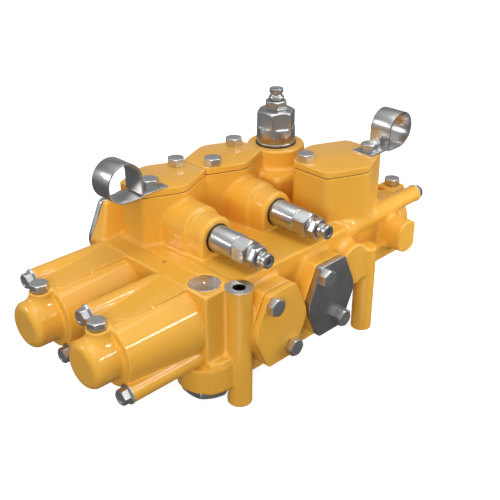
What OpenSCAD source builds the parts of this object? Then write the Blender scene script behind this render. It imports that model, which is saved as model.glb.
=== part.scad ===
// Two-spool transmission control valve: one casting with two sliding spools,
// spring caps, port covers, two line relief cartridges and a main relief cartridge.
// Frame: +Z up, Z = 0 at the feet of the four mounting posts, origin at the centre
// of the post pattern, +X along the spools, -Y towards the side covers.

/* [Casting] */
// Height of the flat deck above the mounting feet
deck_z = 150; // [148:0.5:152]
// X of the face that carries the spring caps
left_x = -152; // [-153:0.5:-151]
// X of the face that carries the end covers
right_x = 199; // [197:0.5:200]
// Height of the machined faces under the top covers
top_face_z = 210.5; // [208:0.5:213]

/* [Mounting posts] */
// Half spacing of the posts along X
post_x = 111; // [110:0.5:112]
// Half spacing of the posts along Y
post_y = 96; // [95:0.5:97]
// Outer radius of a post
post_r = 14; // [12.5:0.5:15]
// Radius of the bolt hole in a post
post_hole_r = 7; // [6:0.25:7.5]

/* [Spools] */
// Radius of the spool bores
spool_bore_r = 14; // [13.5:0.1:14.5]
// Radial clearance of a spool in its bore
spool_clear = 0.05; // [0.02:0.01:0.08]
// Y of the front spool axis
front_y = -42; // [-43:0.5:-41]
// Y of the rear spool axis
rear_y = 63; // [62:0.5:64]
// Height of both spool axes
spool_z = 104; // [103:0.5:105]
// Spool travel each way from centre
spool_travel = 9; // [6:0.5:10]

/* [Covers] */
// Thickness of the bolted cover plates
cover_t = 8; // [7:0.5:9]
// Gasket thickness
gasket_t = 0.8; // [0.5:0.1:1]
// Across flats of the cover bolt heads
bolt_af = 19.5; // [18:0.5:20]
// Height of the cover bolt heads
bolt_head_h = 9.5; // [8:0.5:10]

/* [Relief valves] */
// Height of the two line relief cartridges
line_relief_z = 170.5; // [170:0.5:172]
// Radius of the line relief cartridge body
line_relief_r = 16; // [15.5:0.1:16.2]
// Radius of the main relief cartridge body
main_relief_r = 25; // [24:0.25:25.5]
// X and Y of the main relief cartridge
main_relief_xy = [109, 60];

/* [Hose clips] */
// Outer radius of the hose clip loop
clip_r = 23.4; // [22:0.1:24]
// Strip thickness of the hose clip
clip_t = 1.9; // [1.5:0.1:2.2]
// Strip width of the hose clip
clip_w = 30; // [26:0.5:32]

/* [Hidden] */
$fn = 64;
e = 0.01;
yellow = [0.93, 0.63, 0.13];
zinc = [0.72, 0.73, 0.75];
dark = [0.30, 0.31, 0.33];
black = [0.08, 0.08, 0.09];
steel = [0.62, 0.63, 0.65];

// 1-1/4 inch and 1-1/2 inch four-bolt flange bolt squares, half values
p114 = [33.35, 15.9];
p112 = [39.7, 18.25];
cov1 = [-75.6, 67.5];
cov2 = [23, 68.3];
cov3 = [119, -36.6];
side1 = [-65, 90];
side2 = [21, 91];
rear1 = [-108.5, 141];
rear2 = [24.5, 92];
arch_front_y = -25;
plug_xy = [-132, -64];
wall_y = -88;
face_y = -109;
rear_wall_y = 108;
rear_face_y = 117;
cap_bolts_yz = [[30, 35], [-30, -34.5]];
end_bolts_yz = [[-30, 37], [30, -34.5]];
shoulder_x = -247;
plug_x = -257;
end_plug_x = 233;
clip_reach = 43.5;
clip_dip = 2.1;

// ---------- helpers ----------
module xcyl(r, x0, x1, y, z) translate([x0, y, z]) rotate([0, 90, 0]) cylinder(r = r, h = x1 - x0);
module xcone(ra, rb, x0, x1, y, z) translate([x0, y, z]) rotate([0, 90, 0]) cylinder(r1 = ra, r2 = rb, h = x1 - x0);
module ycyl(r, y0, y1, x, z) translate([x, y1, z]) rotate([90, 0, 0]) cylinder(r = r, h = y1 - y0);
module zcyl(r, z0, z1, x, y) translate([x, y, z0]) cylinder(r = r, h = z1 - z0);
module box(a, b) translate(a) cube(b - a);

// hexagonal prism with chamfered top edge, along +Z from 0
module hex_head(af, h, ch = 1.2) intersection() {
    cylinder(r = af / sqrt(3), h = h, $fn = 6);
    union() {
        cylinder(r = af / sqrt(3) + 1, h = h - ch);
        translate([0, 0, h - ch - e]) cylinder(r1 = af / sqrt(3) + 0.25, r2 = af / 2 - 0.3, h = ch + e);
    }
}

// cover outline: a long hexagon with flat ends at +-l, apexes at +-w, ends 2 f wide;
// rc rounds the end corners, ra the apexes, g grows the whole outline
function arc_points(cx, cy, r, a0, a1, n) = [for (i = [0:n]) [cx + r * cos(a0 + (a1 - a0) * i / n), cy + r * sin(a0 + (a1 - a0) * i / n)]];
module hex_outline(l, w, f, rc, ra, g) {
    s = atan2(w - f, l);
    q = concat(arc_points(l - rc, w - rc / cos(s) - tan(s) * (l - rc), rc + g, 0, 90 - s, 6),
               arc_points(0, w - ra / cos(s), ra + g, 90 - s, 90, 4));
    top = concat(q, [for (i = [len(q) - 2:-1:0]) [-q[i][0], q[i][1]]]);
    polygon(concat(top, [for (p = top) [-p[0], -p[1]]]));
}
module lens114(grow = 0) hex_outline(48.6, 42, 21, 6, 25, grow);
module lens112(grow = 0) hex_outline(53.3, 51.2, 28, 10, 30, grow);
module lens_side(grow = 0) hex_outline(47, 43, 21, 6, 25, grow);

module top_lens(c, big = false, z0 = 0, z1 = 1, grow = 0)
    translate([c[0], c[1], z0]) linear_extrude(z1 - z0) if (big) lens112(grow); else lens114(grow);
// upright lens on a face across Y
module side_lens(c, y0, y1, grow = 0)
    translate([c[0], y1, c[1]]) rotate([90, 0, 0]) linear_extrude(y1 - y0) rotate(90) lens_side(grow);

// a coil of round wire modelled as stacked closed rings joined by a thin sleeve
module ring_coil(rm, wire, len, turns) {
    pitch = (len - 2 * wire) / (turns - 1);
    for (i = [0:turns - 1]) translate([0, 0, wire + i * pitch]) rotate_extrude() translate([rm, 0]) circle(r = wire, $fn = 24);
    difference() {
        translate([0, 0, wire]) cylinder(r = rm + wire * 0.3, h = len - 2 * wire);
        translate([0, 0, -1]) cylinder(r = rm - wire * 0.3, h = len + 2);
    }
}

// ---------- casting ----------
module arch_boss(x, crown) {
    // front part, with a slight draft
    translate([x, 40, line_relief_z]) rotate([90, 0, 0]) cylinder(r1 = 27, r2 = 24.2, h = 40 - arch_front_y);
    box([x - 24.4, arch_front_y, deck_z - 2], [x + 24.4, 40, line_relief_z]);
    // wider rear part
    ycyl(crown, 0, 42, x, line_relief_z + 1);
    box([x - crown + 0.3, 0, deck_z - 2], [x + crown - 0.3, 42, line_relief_z + 1]);
}

module body_outer() {
    // cap end block
    difference() {
        box([left_x, wall_y, 55], [-112, rear_wall_y, deck_z]);
        // sloped rear top edge
        translate([-200, 98, deck_z]) rotate([-45, 0, 0]) cube([400, 40, 40]);
    }
    // middle block over the port galleries
    difference() {
        box([-120, wall_y, 21.5], [64, rear_wall_y, deck_z]);
        translate([-200, 98, deck_z]) rotate([-45, 0, 0]) cube([400, 40, 40]);
    }
    // end block
    difference() {
        union() {
            box([60, -76, 76], [right_x, rear_wall_y, deck_z]);
            box([60, wall_y, 76], [right_x, -70, 101]);
            box([60, wall_y, 96], [78, -70, deck_z]);
        }
        translate([-200, 98, deck_z]) rotate([-45, 0, 0]) cube([400, 40, 40]);
        // sloped upper part of the end block's front wall
        translate([0, 0, 0]) rotate([90, 0, 90]) translate([0, 0, 125]) linear_extrude(80)
            polygon([[-77, 128], [-70, deck_z + 1], [-90, deck_z + 1], [-90, 128]]);
    }
    xcyl(11, 110, right_x, front_y + end_bolts_yz[0][0], spool_z + end_bolts_yz[0][1]);
    xcyl(11, 140, right_x, rear_y + end_bolts_yz[1][0], spool_z + end_bolts_yz[1][1]);
    // columns under the top covers
    top_lens(cov1, false, deck_z - 3, top_face_z);
    top_lens(cov2, false, deck_z - 3, top_face_z);
    top_lens(cov3, true, deck_z - 3, top_face_z);
    box([cov1[0] + 20, 45, deck_z - 3], [cov2[0] - 20, 98, top_face_z - 6]);
    // main relief column
    zcyl(37.3, deck_z - 3, 215, main_relief_xy[0], main_relief_xy[1]);
    box([40, 45, deck_z - 3], [100, 92.4, 205]);
    // line relief bosses
    arch_boss(cov1[0], 29);
    arch_boss(cov2[0], 28);
    // side port bosses
    side_lens(side1, face_y, wall_y + 4);
    side_lens(side2, face_y, wall_y + 4);
    // rear port bosses
    // the left one flares towards the deck and leans back as it rises
    intersection() {
        union() {
            side_lens(rear1, 94, rear_face_y);
            translate([0, rear_face_y - 0.2, 0]) rotate([90, 0, 0]) linear_extrude(24)
                polygon([[-127.2, 187.8], [-151.9, 146], [-151.9, 112], [-80, 112], [-90, 187.8]]);
        }
        rotate([90, 0, 90]) translate([0, 0, -160]) linear_extrude(100)
            polygon([[94, 90], [95, deck_z - 1], [111, 190], [118, 190], [118, 90]]);
    }
    box([-103, 92, deck_z - 2], [-84, 116.5, 184]);
    side_lens(rear2, rear_wall_y - 4, rear_face_y);
    // blank round boss and oblong boss on the end block
    ycyl(27, -103, -70, 82, 104);
    translate([180, -70, 111]) rotate([90, 0, 0]) linear_extrude(40) intersection() {
        circle(r = 21.5);
        square([36, 44], center = true);
    }
    // posts
    zcyl(post_r + 0.3, 0, deck_z, -post_x, -post_y);
    zcyl(post_r - 1.5, 0, 118, post_x, -post_y);
    zcyl(15, 0, deck_z - 14, -post_x, post_y);
    zcyl(15, 0, deck_z - 14, post_x, post_y);
    // boss around the bottom plug
    difference() {
        zcyl(34, 27, 60, plug_xy[0], plug_xy[1]);
        // kept below the lower bolt tube of the front cap
        box([left_x - 20, -110, 57.8], [left_x, -20, 61]);
    }
    // cover bolt bosses inside the cover outlines need no extra metal
}

module threaded_pair(c, p, z0, z1) {
    zcyl(5.4, z0, z1, c[0] - p[0], c[1] - p[1]);
    zcyl(5.4, z0, z1, c[0] + p[0], c[1] + p[1]);
}
module side_pair(c, y0, y1, s = 1) {
    ycyl(5.4, y0, y1, c[0] - p114[1], c[1] + s * p114[0]);
    ycyl(5.4, y0, y1, c[0] + p114[1], c[1] - s * p114[0]);
}

module valve_body() color(yellow) difference() {
    body_outer();
    // spool bores
    xcyl(spool_bore_r, left_x - 1, right_x + 1, front_y, spool_z);
    xcyl(spool_bore_r, left_x - 1, right_x + 1, rear_y, spool_z);
    // port bores under the top covers
    zcyl(19, spool_z - 5, top_face_z + 1, cov1[0], cov1[1]);
    zcyl(19, spool_z - 5, top_face_z + 1, cov2[0], cov2[1]);
    zcyl(22, spool_z - 5, top_face_z + 1, cov3[0], cov3[1]);
    threaded_pair(cov1, p114, top_face_z - 24, top_face_z + 1);
    threaded_pair(cov2, p114, top_face_z - 24, top_face_z + 1);
    translate([0, 0, 0]) {
        zcyl(5.4, top_face_z - 24, top_face_z + 1, cov3[0] - p112[0], cov3[1] + p112[1]);
        zcyl(5.4, top_face_z - 24, top_face_z + 1, cov3[0] + p112[0], cov3[1] - p112[1]);
    }
    // side port bores
    ycyl(19, face_y - 1, front_y + 5, side1[0], side1[1]);
    ycyl(19, face_y - 1, front_y + 5, side2[0], side2[1]);
    side_pair(side1, face_y - 1, face_y + 22);
    side_pair(side2, face_y - 1, face_y + 22);
    // rear ports
    ycyl(17.5, 103, rear_face_y + 1, rear1[0], rear1[1]);
    ycyl(8, rear_y - 3, 104, rear1[0], 122);
    ycyl(19, rear_y + 16, rear_face_y + 1, rear2[0], rear2[1]);
    ycyl(11, rear_y - 5, rear_y + 17, rear2[0], rear2[1] + 3);
    side_pair(rear1, rear_face_y - 22, rear_face_y + 1, -1);
    for (sx = [-1, 1], sz = [-1, 1])
        ycyl(5.4, rear_face_y - 24, rear_face_y + 1, rear2[0] + sx * p114[1], rear2[1] + sz * p114[0]);
    // line relief cavities
    for (c = [cov1, cov2]) {
        ycyl(line_relief_r + 0.1, -30, 22, c[0], line_relief_z);
        ycyl(9, 21, 60, c[0], line_relief_z);
    }
    // main relief cavity
    zcyl(main_relief_r + 0.1, 196, 216, main_relief_xy[0], main_relief_xy[1]);
    zcyl(15.1, 160, 197, main_relief_xy[0], main_relief_xy[1]);
    zcyl(8, spool_z - 6, 161, main_relief_xy[0], main_relief_xy[1]);
    // room for the middle cover beside the main relief column
    top_lens(cov2, false, top_face_z, top_face_z + 20, 0.8);
    // deck plug counterbore
    zcyl(17.5, deck_z - 9, deck_z + 1, -132, -64);
    zcyl(10, deck_z - 22, deck_z - 8, -132, -64);
    // small drilled hole in the deck
    zcyl(1.2, deck_z - 8, deck_z + 1, -131.6, 3.8);
    // bottom plug bore, check valve chamber and slanted passage to the front spool
    zcyl(20, 26, 44, plug_xy[0], plug_xy[1]);
    zcyl(12.05, 43, 56, plug_xy[0], plug_xy[1]);
    translate([plug_xy[0], plug_xy[1], 54]) rotate([-27, 32, 0]) cylinder(r = 6.5, h = 50);
    // clearance for the hexagon of the bottom plug
    translate([plug_xy[0], plug_xy[1], 8]) rotate(32) cylinder(r = 52.6 / sqrt(3), h = 19, $fn = 6);
    // post holes
    zcyl(post_hole_r, -1, deck_z + 1, -post_x, -post_y);
    for (p = [[post_x, -post_y], [-post_x, post_y], [post_x, post_y]]) {
        zcyl(post_hole_r, -1, 45, p[0], p[1]);
        translate([p[0], p[1], 45 - e]) cylinder(r1 = post_hole_r, r2 = 0, h = 4);
    }
    // tapped holes for the cap and end cover bolts
    for (cy = [front_y, rear_y]) {
        for (b = cap_bolts_yz) xcyl(5.05, left_x - 1, left_x + 18, cy + b[0], spool_z + b[1]);
        for (b = end_bolts_yz) xcyl(5.05, right_x - 20, right_x + 1, cy + b[0], spool_z + b[1]);
    }
}

// ---------- spring caps ----------
module spool_cap(cy) color(yellow) difference() {
    union() {
        xcone(37, 45, shoulder_x, left_x, cy, spool_z);
        // flat pad between the upper bolt tube and the barrel
        intersection() {
            translate([0, cy + 30, 0]) rotate([90, 0, 0]) linear_extrude(60)
                polygon([[left_x, spool_z], [left_x, 149.9], [shoulder_x, 137.7], [shoulder_x, spool_z]]);
            translate([0, 0, spool_z]) linear_extrude(60)
                polygon([[left_x, cy + 30], [left_x, cy - 17.6], [shoulder_x, cy - 9.6], [shoulder_x, cy + 30]]);
        }
        for (b = cap_bolts_yz) xcyl(11, shoulder_x - 0.5, left_x, cy + b[0], spool_z + b[1]);
        // small end cylinder with a rounded end
        translate([-281, cy, spool_z]) rotate([0, 90, 0]) rotate_extrude() {
            square([18, 20]);
            translate([0, 9]) square([27, 31]);
            intersection() { translate([18, 9]) circle(r = 9); square([27, 9.5]); }
        }
        // plug boss
        zcyl(12.2, spool_z, 140.4, plug_x, cy);
        translate([plug_x, cy, 118]) cylinder(r1 = 21, r2 = 12.2, h = 12);
    }
    // spring room
    xcyl(29, -236, left_x + 1, cy, spool_z);
    xcyl(14.5, -266, -235, cy, spool_z);
    // bolt holes
    for (b = cap_bolts_yz) xcyl(5.5, shoulder_x - 2, left_x + 1, cy + b[0], spool_z + b[1]);
    // plug hole
    zcyl(7, spool_z + 10, 142, plug_x, cy);
    // seal groove
    difference() {
        xcyl(34.2, left_x - 2.2, left_x + 1, cy, spool_z);
        xcyl(30.6, left_x - 3, left_x + 2, cy, spool_z);
    }
}
module front_spool_cap() spool_cap(front_y);
module rear_spool_cap() spool_cap(rear_y);

// ---------- end covers ----------
module end_cover(cy) color(yellow) difference() {
    union() {
        xcone(44, 42.5, right_x, right_x + 9, cy, spool_z);
        translate([right_x + 45, cy, spool_z]) rotate([0, -90, 0]) rotate_extrude() {
            square([19, 20]);
            translate([0, 7]) square([26, 31]);
            intersection() { translate([19, 7]) circle(r = 7); square([26, 7.5]); }
        }
        for (b = end_bolts_yz) xcyl(11, right_x, right_x + 43, cy + b[0], spool_z + b[1]);
        box([right_x + 19, cy - 13, spool_z], [right_x + 46, cy + 14, 148]);
        // web between the upper bolt tube and the pad
        box([right_x, cy - 30, 128], [right_x + 38, cy, 146]);
    }
    xcyl(17, right_x - 1, right_x + 37, cy, spool_z);
    for (b = end_bolts_yz) xcyl(5.5, right_x - 1, right_x + 44, cy + b[0], spool_z + b[1]);
    zcyl(7, spool_z + 10, 149, end_plug_x, cy);
    difference() {
        xcyl(23.2, right_x - 1, right_x + 2.2, cy, spool_z);
        xcyl(19.6, right_x - 2, right_x + 3, cy, spool_z);
    }
}
module front_end_cover() end_cover(front_y);
module rear_end_cover() end_cover(rear_y);

// ---------- flange bolts ----------
// head towards -X at x0, shank to x1
module flange_bolt_left(x0, x1, y, z) {
    xcyl(4.9, x0 - 1, x1, y, z);
    xcone(10.2, 11.6, x0 - 2.6, x0, y, z);
    translate([x0 - 2.6 + e, y, z]) rotate([0, -90, 0]) hex_head(16, 8.2);
}
module flange_bolt_right(x0, x1, y, z) {
    xcyl(4.9, x1, x0 + 1, y, z);
    xcone(11.6, 10.2, x0, x0 + 2.6, y, z);
    translate([x0 + 2.6 - e, y, z]) rotate([0, 90, 0]) hex_head(16, 8.2);
}
module cap_bolts() color(zinc) for (cy = [front_y, rear_y], b = cap_bolts_yz)
    flange_bolt_left(shoulder_x - 0.5, left_x + 16, cy + b[0], spool_z + b[1]);
module end_cover_bolts() color(zinc) for (cy = [front_y, rear_y], b = end_bolts_yz)
    flange_bolt_right(right_x + 43, right_x - 18, cy + b[0], spool_z + b[1]);

// ---------- hex plugs on the caps and end covers ----------
module hex_plug(x, y, z) {
    translate([x, y, z]) rotate(12) hex_head(19, 8.4);
    zcyl(6.95, z - 16, z + 1, x, y);
}
module cap_plugs() color(zinc) for (cy = [front_y, rear_y]) hex_plug(plug_x, cy, 141.6);
module end_cover_plugs() color(zinc) for (cy = [front_y, rear_y]) hex_plug(end_plug_x, cy, 149.2);
module face_seal(x, y, z, h) difference() {
    zcyl(8.6, z, z + h, x, y);
    zcyl(7.0, z - 1, z + h + 1, x, y);
}
module plug_seals() color(black) for (cy = [front_y, rear_y]) {
    face_seal(plug_x, cy, 140.4, 1.2);
    face_seal(end_plug_x, cy, 148, 1.2);
}
module cap_seals() color(black) for (cy = [front_y, rear_y])
    translate([left_x - 1.1, cy, spool_z]) rotate([0, 90, 0]) rotate_extrude() translate([32.4, 0]) circle(r = 1.09, $fn = 24);
module end_cover_seals() color(black) for (cy = [front_y, rear_y])
    translate([right_x + 1.1, cy, spool_z]) rotate([0, 90, 0]) rotate_extrude() translate([21.4, 0]) circle(r = 1.09, $fn = 24);

// ---------- top covers ----------
module top_cover(c, p, big, s) color(yellow) difference() {
    top_lens(c, big, top_face_z + gasket_t, top_face_z + gasket_t + cover_t);
    zcyl(5.9, top_face_z, top_face_z + 20, c[0] - p[0], c[1] - s * p[1]);
    zcyl(5.9, top_face_z, top_face_z + 20, c[0] + p[0], c[1] + s * p[1]);
}
module left_top_cover() top_cover(cov1, p114, false, 1);
module middle_top_cover() top_cover(cov2, p114, false, 1);
module right_top_cover() top_cover(cov3, p112, true, -1);
module top_gasket(c, p, big, s, r) difference() {
    top_lens(c, big, top_face_z, top_face_z + gasket_t, -1.2);
    zcyl(5.9, top_face_z - 1, top_face_z + 2, c[0] - p[0], c[1] - s * p[1]);
    zcyl(5.9, top_face_z - 1, top_face_z + 2, c[0] + p[0], c[1] + s * p[1]);
    zcyl(r, top_face_z - 1, top_face_z + 2, c[0], c[1]);
}
module top_cover_gaskets() color(black) {
    top_gasket(cov1, p114, false, 1, 20);
    top_gasket(cov2, p114, false, 1, 20);
    top_gasket(cov3, p112, true, -1, 23);
}
module hex_bolt_down(x, y, z, depth, rot) {
    translate([x, y, z]) rotate(rot) hex_head(bolt_af, bolt_head_h);
    zcyl(5.35, z - depth, z + 1, x, y);
}
module top_cover_bolts() color(zinc) {
    zt = top_face_z + gasket_t + cover_t;
    hex_bolt_down(cov1[0] - p114[0], cov1[1] - p114[1], zt + clip_t, 26, 5);
    hex_bolt_down(cov1[0] + p114[0], cov1[1] + p114[1], zt, 26, 20);
    hex_bolt_down(cov2[0] - p114[0], cov2[1] - p114[1], zt, 26, 8);
    hex_bolt_down(cov2[0] + p114[0], cov2[1] + p114[1], zt, 26, 25);
    hex_bolt_down(cov3[0] - p112[0], cov3[1] + p112[1], zt, 26, 14);
    hex_bolt_down(cov3[0] + p112[0], cov3[1] - p112[1], zt + clip_t, 26, 27);
}

// ---------- side covers ----------
module side_plate_at(c, s = 1) difference() {
    side_lens(c, face_y - gasket_t - cover_t, face_y - gasket_t);
    ycyl(5.9, face_y - 20, face_y + 2, c[0] - p114[1], c[1] + s * p114[0]);
    ycyl(5.9, face_y - 20, face_y + 2, c[0] + p114[1], c[1] - s * p114[0]);
}
module side_cover() color(yellow) side_plate_at(side1);
module side_plate() color(dark) side_plate_at(side2);
module side_gaskets() color(black) for (c = [side1, side2]) difference() {
    side_lens(c, face_y - gasket_t, face_y, -1.2);
    ycyl(5.9, face_y - 20, face_y + 2, c[0] - p114[1], c[1] + p114[0]);
    ycyl(5.9, face_y - 20, face_y + 2, c[0] + p114[1], c[1] - p114[0]);
    ycyl(20, face_y - 20, face_y + 2, c[0], c[1]);
}
module hex_bolt_y(x, z, y, depth, rot, s = 1) {
    translate([x, y, z]) rotate([90 * s, 0, 0]) rotate(rot) hex_head(bolt_af, bolt_head_h);
    if (s > 0) ycyl(5.35, y - 1, y + depth, x, z); else ycyl(5.35, y - depth, y + 1, x, z);
}
module side_bolts() color(zinc) {
    yf = face_y - gasket_t - cover_t;
    hex_bolt_y(side1[0] - p114[1], side1[1] + p114[0], yf, 26, 8);
    hex_bolt_y(side1[0] + p114[1], side1[1] - p114[0], yf, 26, 20);
    hex_bolt_y(side2[0] - p114[1], side2[1] + p114[0], yf, 26, 0);
    hex_bolt_y(side2[0] + p114[1], side2[1] - p114[0], yf, 26, 12);
}
module rear_plate() color(dark) difference() {
    side_lens(rear1, rear_face_y + gasket_t, rear_face_y + gasket_t + cover_t);
    ycyl(5.9, rear_face_y, rear_face_y + 20, rear1[0] - p114[1], rear1[1] - p114[0]);
    ycyl(5.9, rear_face_y, rear_face_y + 20, rear1[0] + p114[1], rear1[1] + p114[0]);
}
module rear_gasket() color(black) difference() {
    side_lens(rear1, rear_face_y, rear_face_y + gasket_t, -1.2);
    ycyl(5.9, rear_face_y - 2, rear_face_y + 20, rear1[0] - p114[1], rear1[1] - p114[0]);
    ycyl(5.9, rear_face_y - 2, rear_face_y + 20, rear1[0] + p114[1], rear1[1] + p114[0]);
    ycyl(17, rear_face_y - 2, rear_face_y + 20, rear1[0], rear1[1]);
}
module rear_bolts() color(zinc) {
    yf = rear_face_y + gasket_t + cover_t;
    hex_bolt_y(rear1[0] - p114[1], rear1[1] - p114[0], yf, 26, 8, -1);
    hex_bolt_y(rear1[0] + p114[1], rear1[1] + p114[0], yf, 26, 18, -1);
}

// ---------- plugs in the cap end block ----------
module deck_plug() color(steel) difference() {
    union() {
        zcyl(17.45, deck_z - 8.5, deck_z + 0.4, -132, -64);
        zcyl(9.9, deck_z - 20, deck_z - 8, -132, -64);
    }
    translate([-132, -64, deck_z - 1]) cylinder(r1 = 0.1, r2 = 1.8, h = 1.5);
}
module bottom_plug() color(dark) difference() {
    union() {
        translate([plug_xy[0], plug_xy[1], 26]) mirror([0, 0, 1]) rotate(32) hex_head(51, 12, 1.6);
        zcyl(19.9, 25, 42, plug_xy[0], plug_xy[1]);
    }
    zcyl(9.05, 19, 43, plug_xy[0], plug_xy[1]);
}
module bottom_plug_seal() color(black) difference() {
    zcyl(23.5, 26, 27, plug_xy[0], plug_xy[1]);
    zcyl(20.1, 25, 28, plug_xy[0], plug_xy[1]);
}
// check poppet: guided by its stem in the plug, closes the passage above it
module check_poppet() color(steel) {
    zcyl(9, 33, 47, plug_xy[0], plug_xy[1]);
    zcyl(11.5, 47, 50, plug_xy[0], plug_xy[1]);
    translate([plug_xy[0], plug_xy[1], 50 - e]) cylinder(r1 = 11.5, r2 = 6, h = 5.5);
}
module check_spring() color(steel) translate([plug_xy[0], plug_xy[1], 19.1]) ring_coil(6.6, 1.1, 13.8, 6);

// ---------- spools ----------
function land_list() = [[-156, -112], [-96, -84], [-66, -34], [-10, 8], [34, 60], [78, 96], [140, 222]];
module spool(cy) color(steel) difference() {
    union() {
        xcyl(9, -158, 222, cy, spool_z);
        for (l = land_list()) xcyl(spool_bore_r - spool_clear, l[0], l[1], cy, spool_z);
        xcyl(7, -176, -157, cy, spool_z);
    }
    // spring pocket in the right end
    xcyl(10.5, 190, 223, cy, spool_z);
    // thread for the cup bolt
    xcyl(4, -177, -164, cy, spool_z);
}
module front_spool() spool(front_y);
module rear_spool() spool(rear_y);
// spring cup seated on the spool stem
module spring_cup(cy) color(steel) difference() {
    union() {
        xcyl(24, -172, -168, cy, spool_z);
        xcyl(13, -180, -172 + e, cy, spool_z);
    }
    xcyl(7.05, -176, -167, cy, spool_z);
    xcyl(4.1, -181, -175, cy, spool_z);
}
module front_spring_cup() spring_cup(front_y);
module rear_spring_cup() spring_cup(rear_y);
module cup_bolt(cy) color(zinc) {
    xcyl(3.95, -180.5, -165, cy, spool_z);
    translate([-180, cy, spool_z]) rotate([0, -90, 0]) hex_head(13, 5.3);
}
module front_cup_bolt() cup_bolt(front_y);
module rear_cup_bolt() cup_bolt(rear_y);
module cap_spring(cy) color(steel) translate([-236, cy, spool_z]) rotate([0, 90, 0]) ring_coil(19, 2.4, 63.9, 9);
module front_cap_spring() cap_spring(front_y);
module rear_cap_spring() cap_spring(rear_y);
module end_spring(cy) color(steel) translate([190.1, cy, spool_z]) rotate([0, 90, 0]) ring_coil(8, 1.4, 45.8, 10);
module front_end_spring() end_spring(front_y);
module rear_end_spring() end_spring(rear_y);

// ---------- line relief cartridges, axis along Y, outside end towards -Y ----------
module lr_body(x) color(zinc) difference() {
    union() {
        ycyl(line_relief_r, -62, 21.5, x, line_relief_z);
        translate([x, -62 + e, line_relief_z]) rotate([90, 0, 0]) rotate(30) hex_head(28.3, 18.5, 1.4);
        ycyl(11.2, -84.5, -80, x, line_relief_z);
    }
    // poppet guide and seat, spring room, screw thread
    ycyl(6.05, -20, 12, x, line_relief_z);
    ycyl(4, 11, 22, x, line_relief_z);
    ycyl(7.5, -72, -17.5, x, line_relief_z);
    ycyl(5.6, -86, -71, x, line_relief_z);
    // discharge holes
    zcyl(3, line_relief_z - 20, line_relief_z + 20, x, -4);
}
module lr_locknut(x) color(zinc) difference() {
    translate([x, -84.6, line_relief_z]) rotate([90, 0, 0]) rotate(0) hex_head(23.4, 9, 1.2);
    ycyl(5.6, -95, -84, x, line_relief_z);
}
module lr_screw(x) color(zinc) difference() {
    union() {
        ycyl(5.55, -95, -62, x, line_relief_z);
        ycyl(8.7, -106.4, -93.7, x, line_relief_z);
    }
    translate([x, -100, line_relief_z]) rotate([90, 0, 0]) cylinder(r = 8 / sqrt(3), h = 8, $fn = 6);
}
module lr_poppet(x) color(steel) {
    ycyl(6, -18, 6, x, line_relief_z);
    translate([x, 6 - e, line_relief_z]) rotate([-90, 0, 0]) cylinder(r1 = 6, r2 = 3.2, h = 5);
}
module lr_spring(x) color(steel) translate([x, -61.9, line_relief_z]) rotate([-90, 0, 0]) ring_coil(5.4, 1.1, 43.8, 11);
module left_relief_body() lr_body(cov1[0]);
module left_relief_locknut() lr_locknut(cov1[0]);
module left_relief_screw() lr_screw(cov1[0]);
module left_relief_poppet() lr_poppet(cov1[0]);
module left_relief_spring() lr_spring(cov1[0]);
module right_relief_body() lr_body(cov2[0]);
module right_relief_locknut() lr_locknut(cov2[0]);
module right_relief_screw() lr_screw(cov2[0]);
module right_relief_poppet() lr_poppet(cov2[0]);
module right_relief_spring() lr_spring(cov2[0]);

// ---------- main relief cartridge, axis along Z ----------
module main_relief_body() color(zinc) translate([main_relief_xy[0], main_relief_xy[1], 0]) difference() {
    union() {
        cylinder_at(main_relief_r, 196.2, 238.5);
        translate([0, 0, 238.5 - e]) rotate(31) hex_head(44.5, 21.5, 1.8);
        cylinder_at(15, 162, 197);
        cylinder_at(10.5, 259, 261);
    }
    cylinder_at(8.05, 174, 200);
    cylinder_at(5, 160, 175);
    cylinder_at(10, 199, 247);
    cylinder_at(7.1, 246, 262);
    rotate([0, 90, 0]) translate([-182, 0, -20]) cylinder(r = 3, h = 40);
}
module cylinder_at(r, z0, z1) translate([0, 0, z0]) cylinder(r = r, h = z1 - z0);
module main_relief_locknut() color(zinc) translate([main_relief_xy[0], main_relief_xy[1], 0]) difference() {
    translate([0, 0, 261.1]) rotate(20) hex_head(25.5, 11, 1.3);
    cylinder_at(7.1, 260, 273);
}
module main_relief_screw() color(zinc) translate([main_relief_xy[0], main_relief_xy[1], 0]) difference() {
    union() {
        cylinder_at(7.05, 240, 273);
        translate([0, 0, 272.2]) cylinder(r1 = 8.5, r2 = 10.2, h = 3);
        translate([0, 0, 275.2 - e]) cylinder(r1 = 10.2, r2 = 7.4, h = 4);
        cylinder_at(7.4, 279, 282);
        cylinder_at(9, 282, 287.6);
    }
    translate([0, 0, 281]) cylinder(r = 8 / sqrt(3), h = 8, $fn = 6);
}
module main_relief_poppet() color(steel) translate([main_relief_xy[0], main_relief_xy[1], 0]) {
    cylinder_at(8, 181, 204);
    translate([0, 0, 175.2]) cylinder(r1 = 3.6, r2 = 8, h = 5.8 + e);
}
module main_relief_spring() color(steel) translate([main_relief_xy[0], main_relief_xy[1], 204.1]) ring_coil(7.8, 1.4, 35.8, 9);
module relief_seals() color(black) {
    for (c = [cov1, cov2]) translate([c[0], arch_front_y - 0.6, line_relief_z]) rotate([90, 0, 0]) rotate_extrude()
        translate([line_relief_r + 0.75, 0]) circle(r = 0.6, $fn = 24);
    translate([main_relief_xy[0], main_relief_xy[1], 215.7]) rotate_extrude()
        translate([main_relief_r + 0.8, 0]) circle(r = 0.65, $fn = 24);
}

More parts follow.
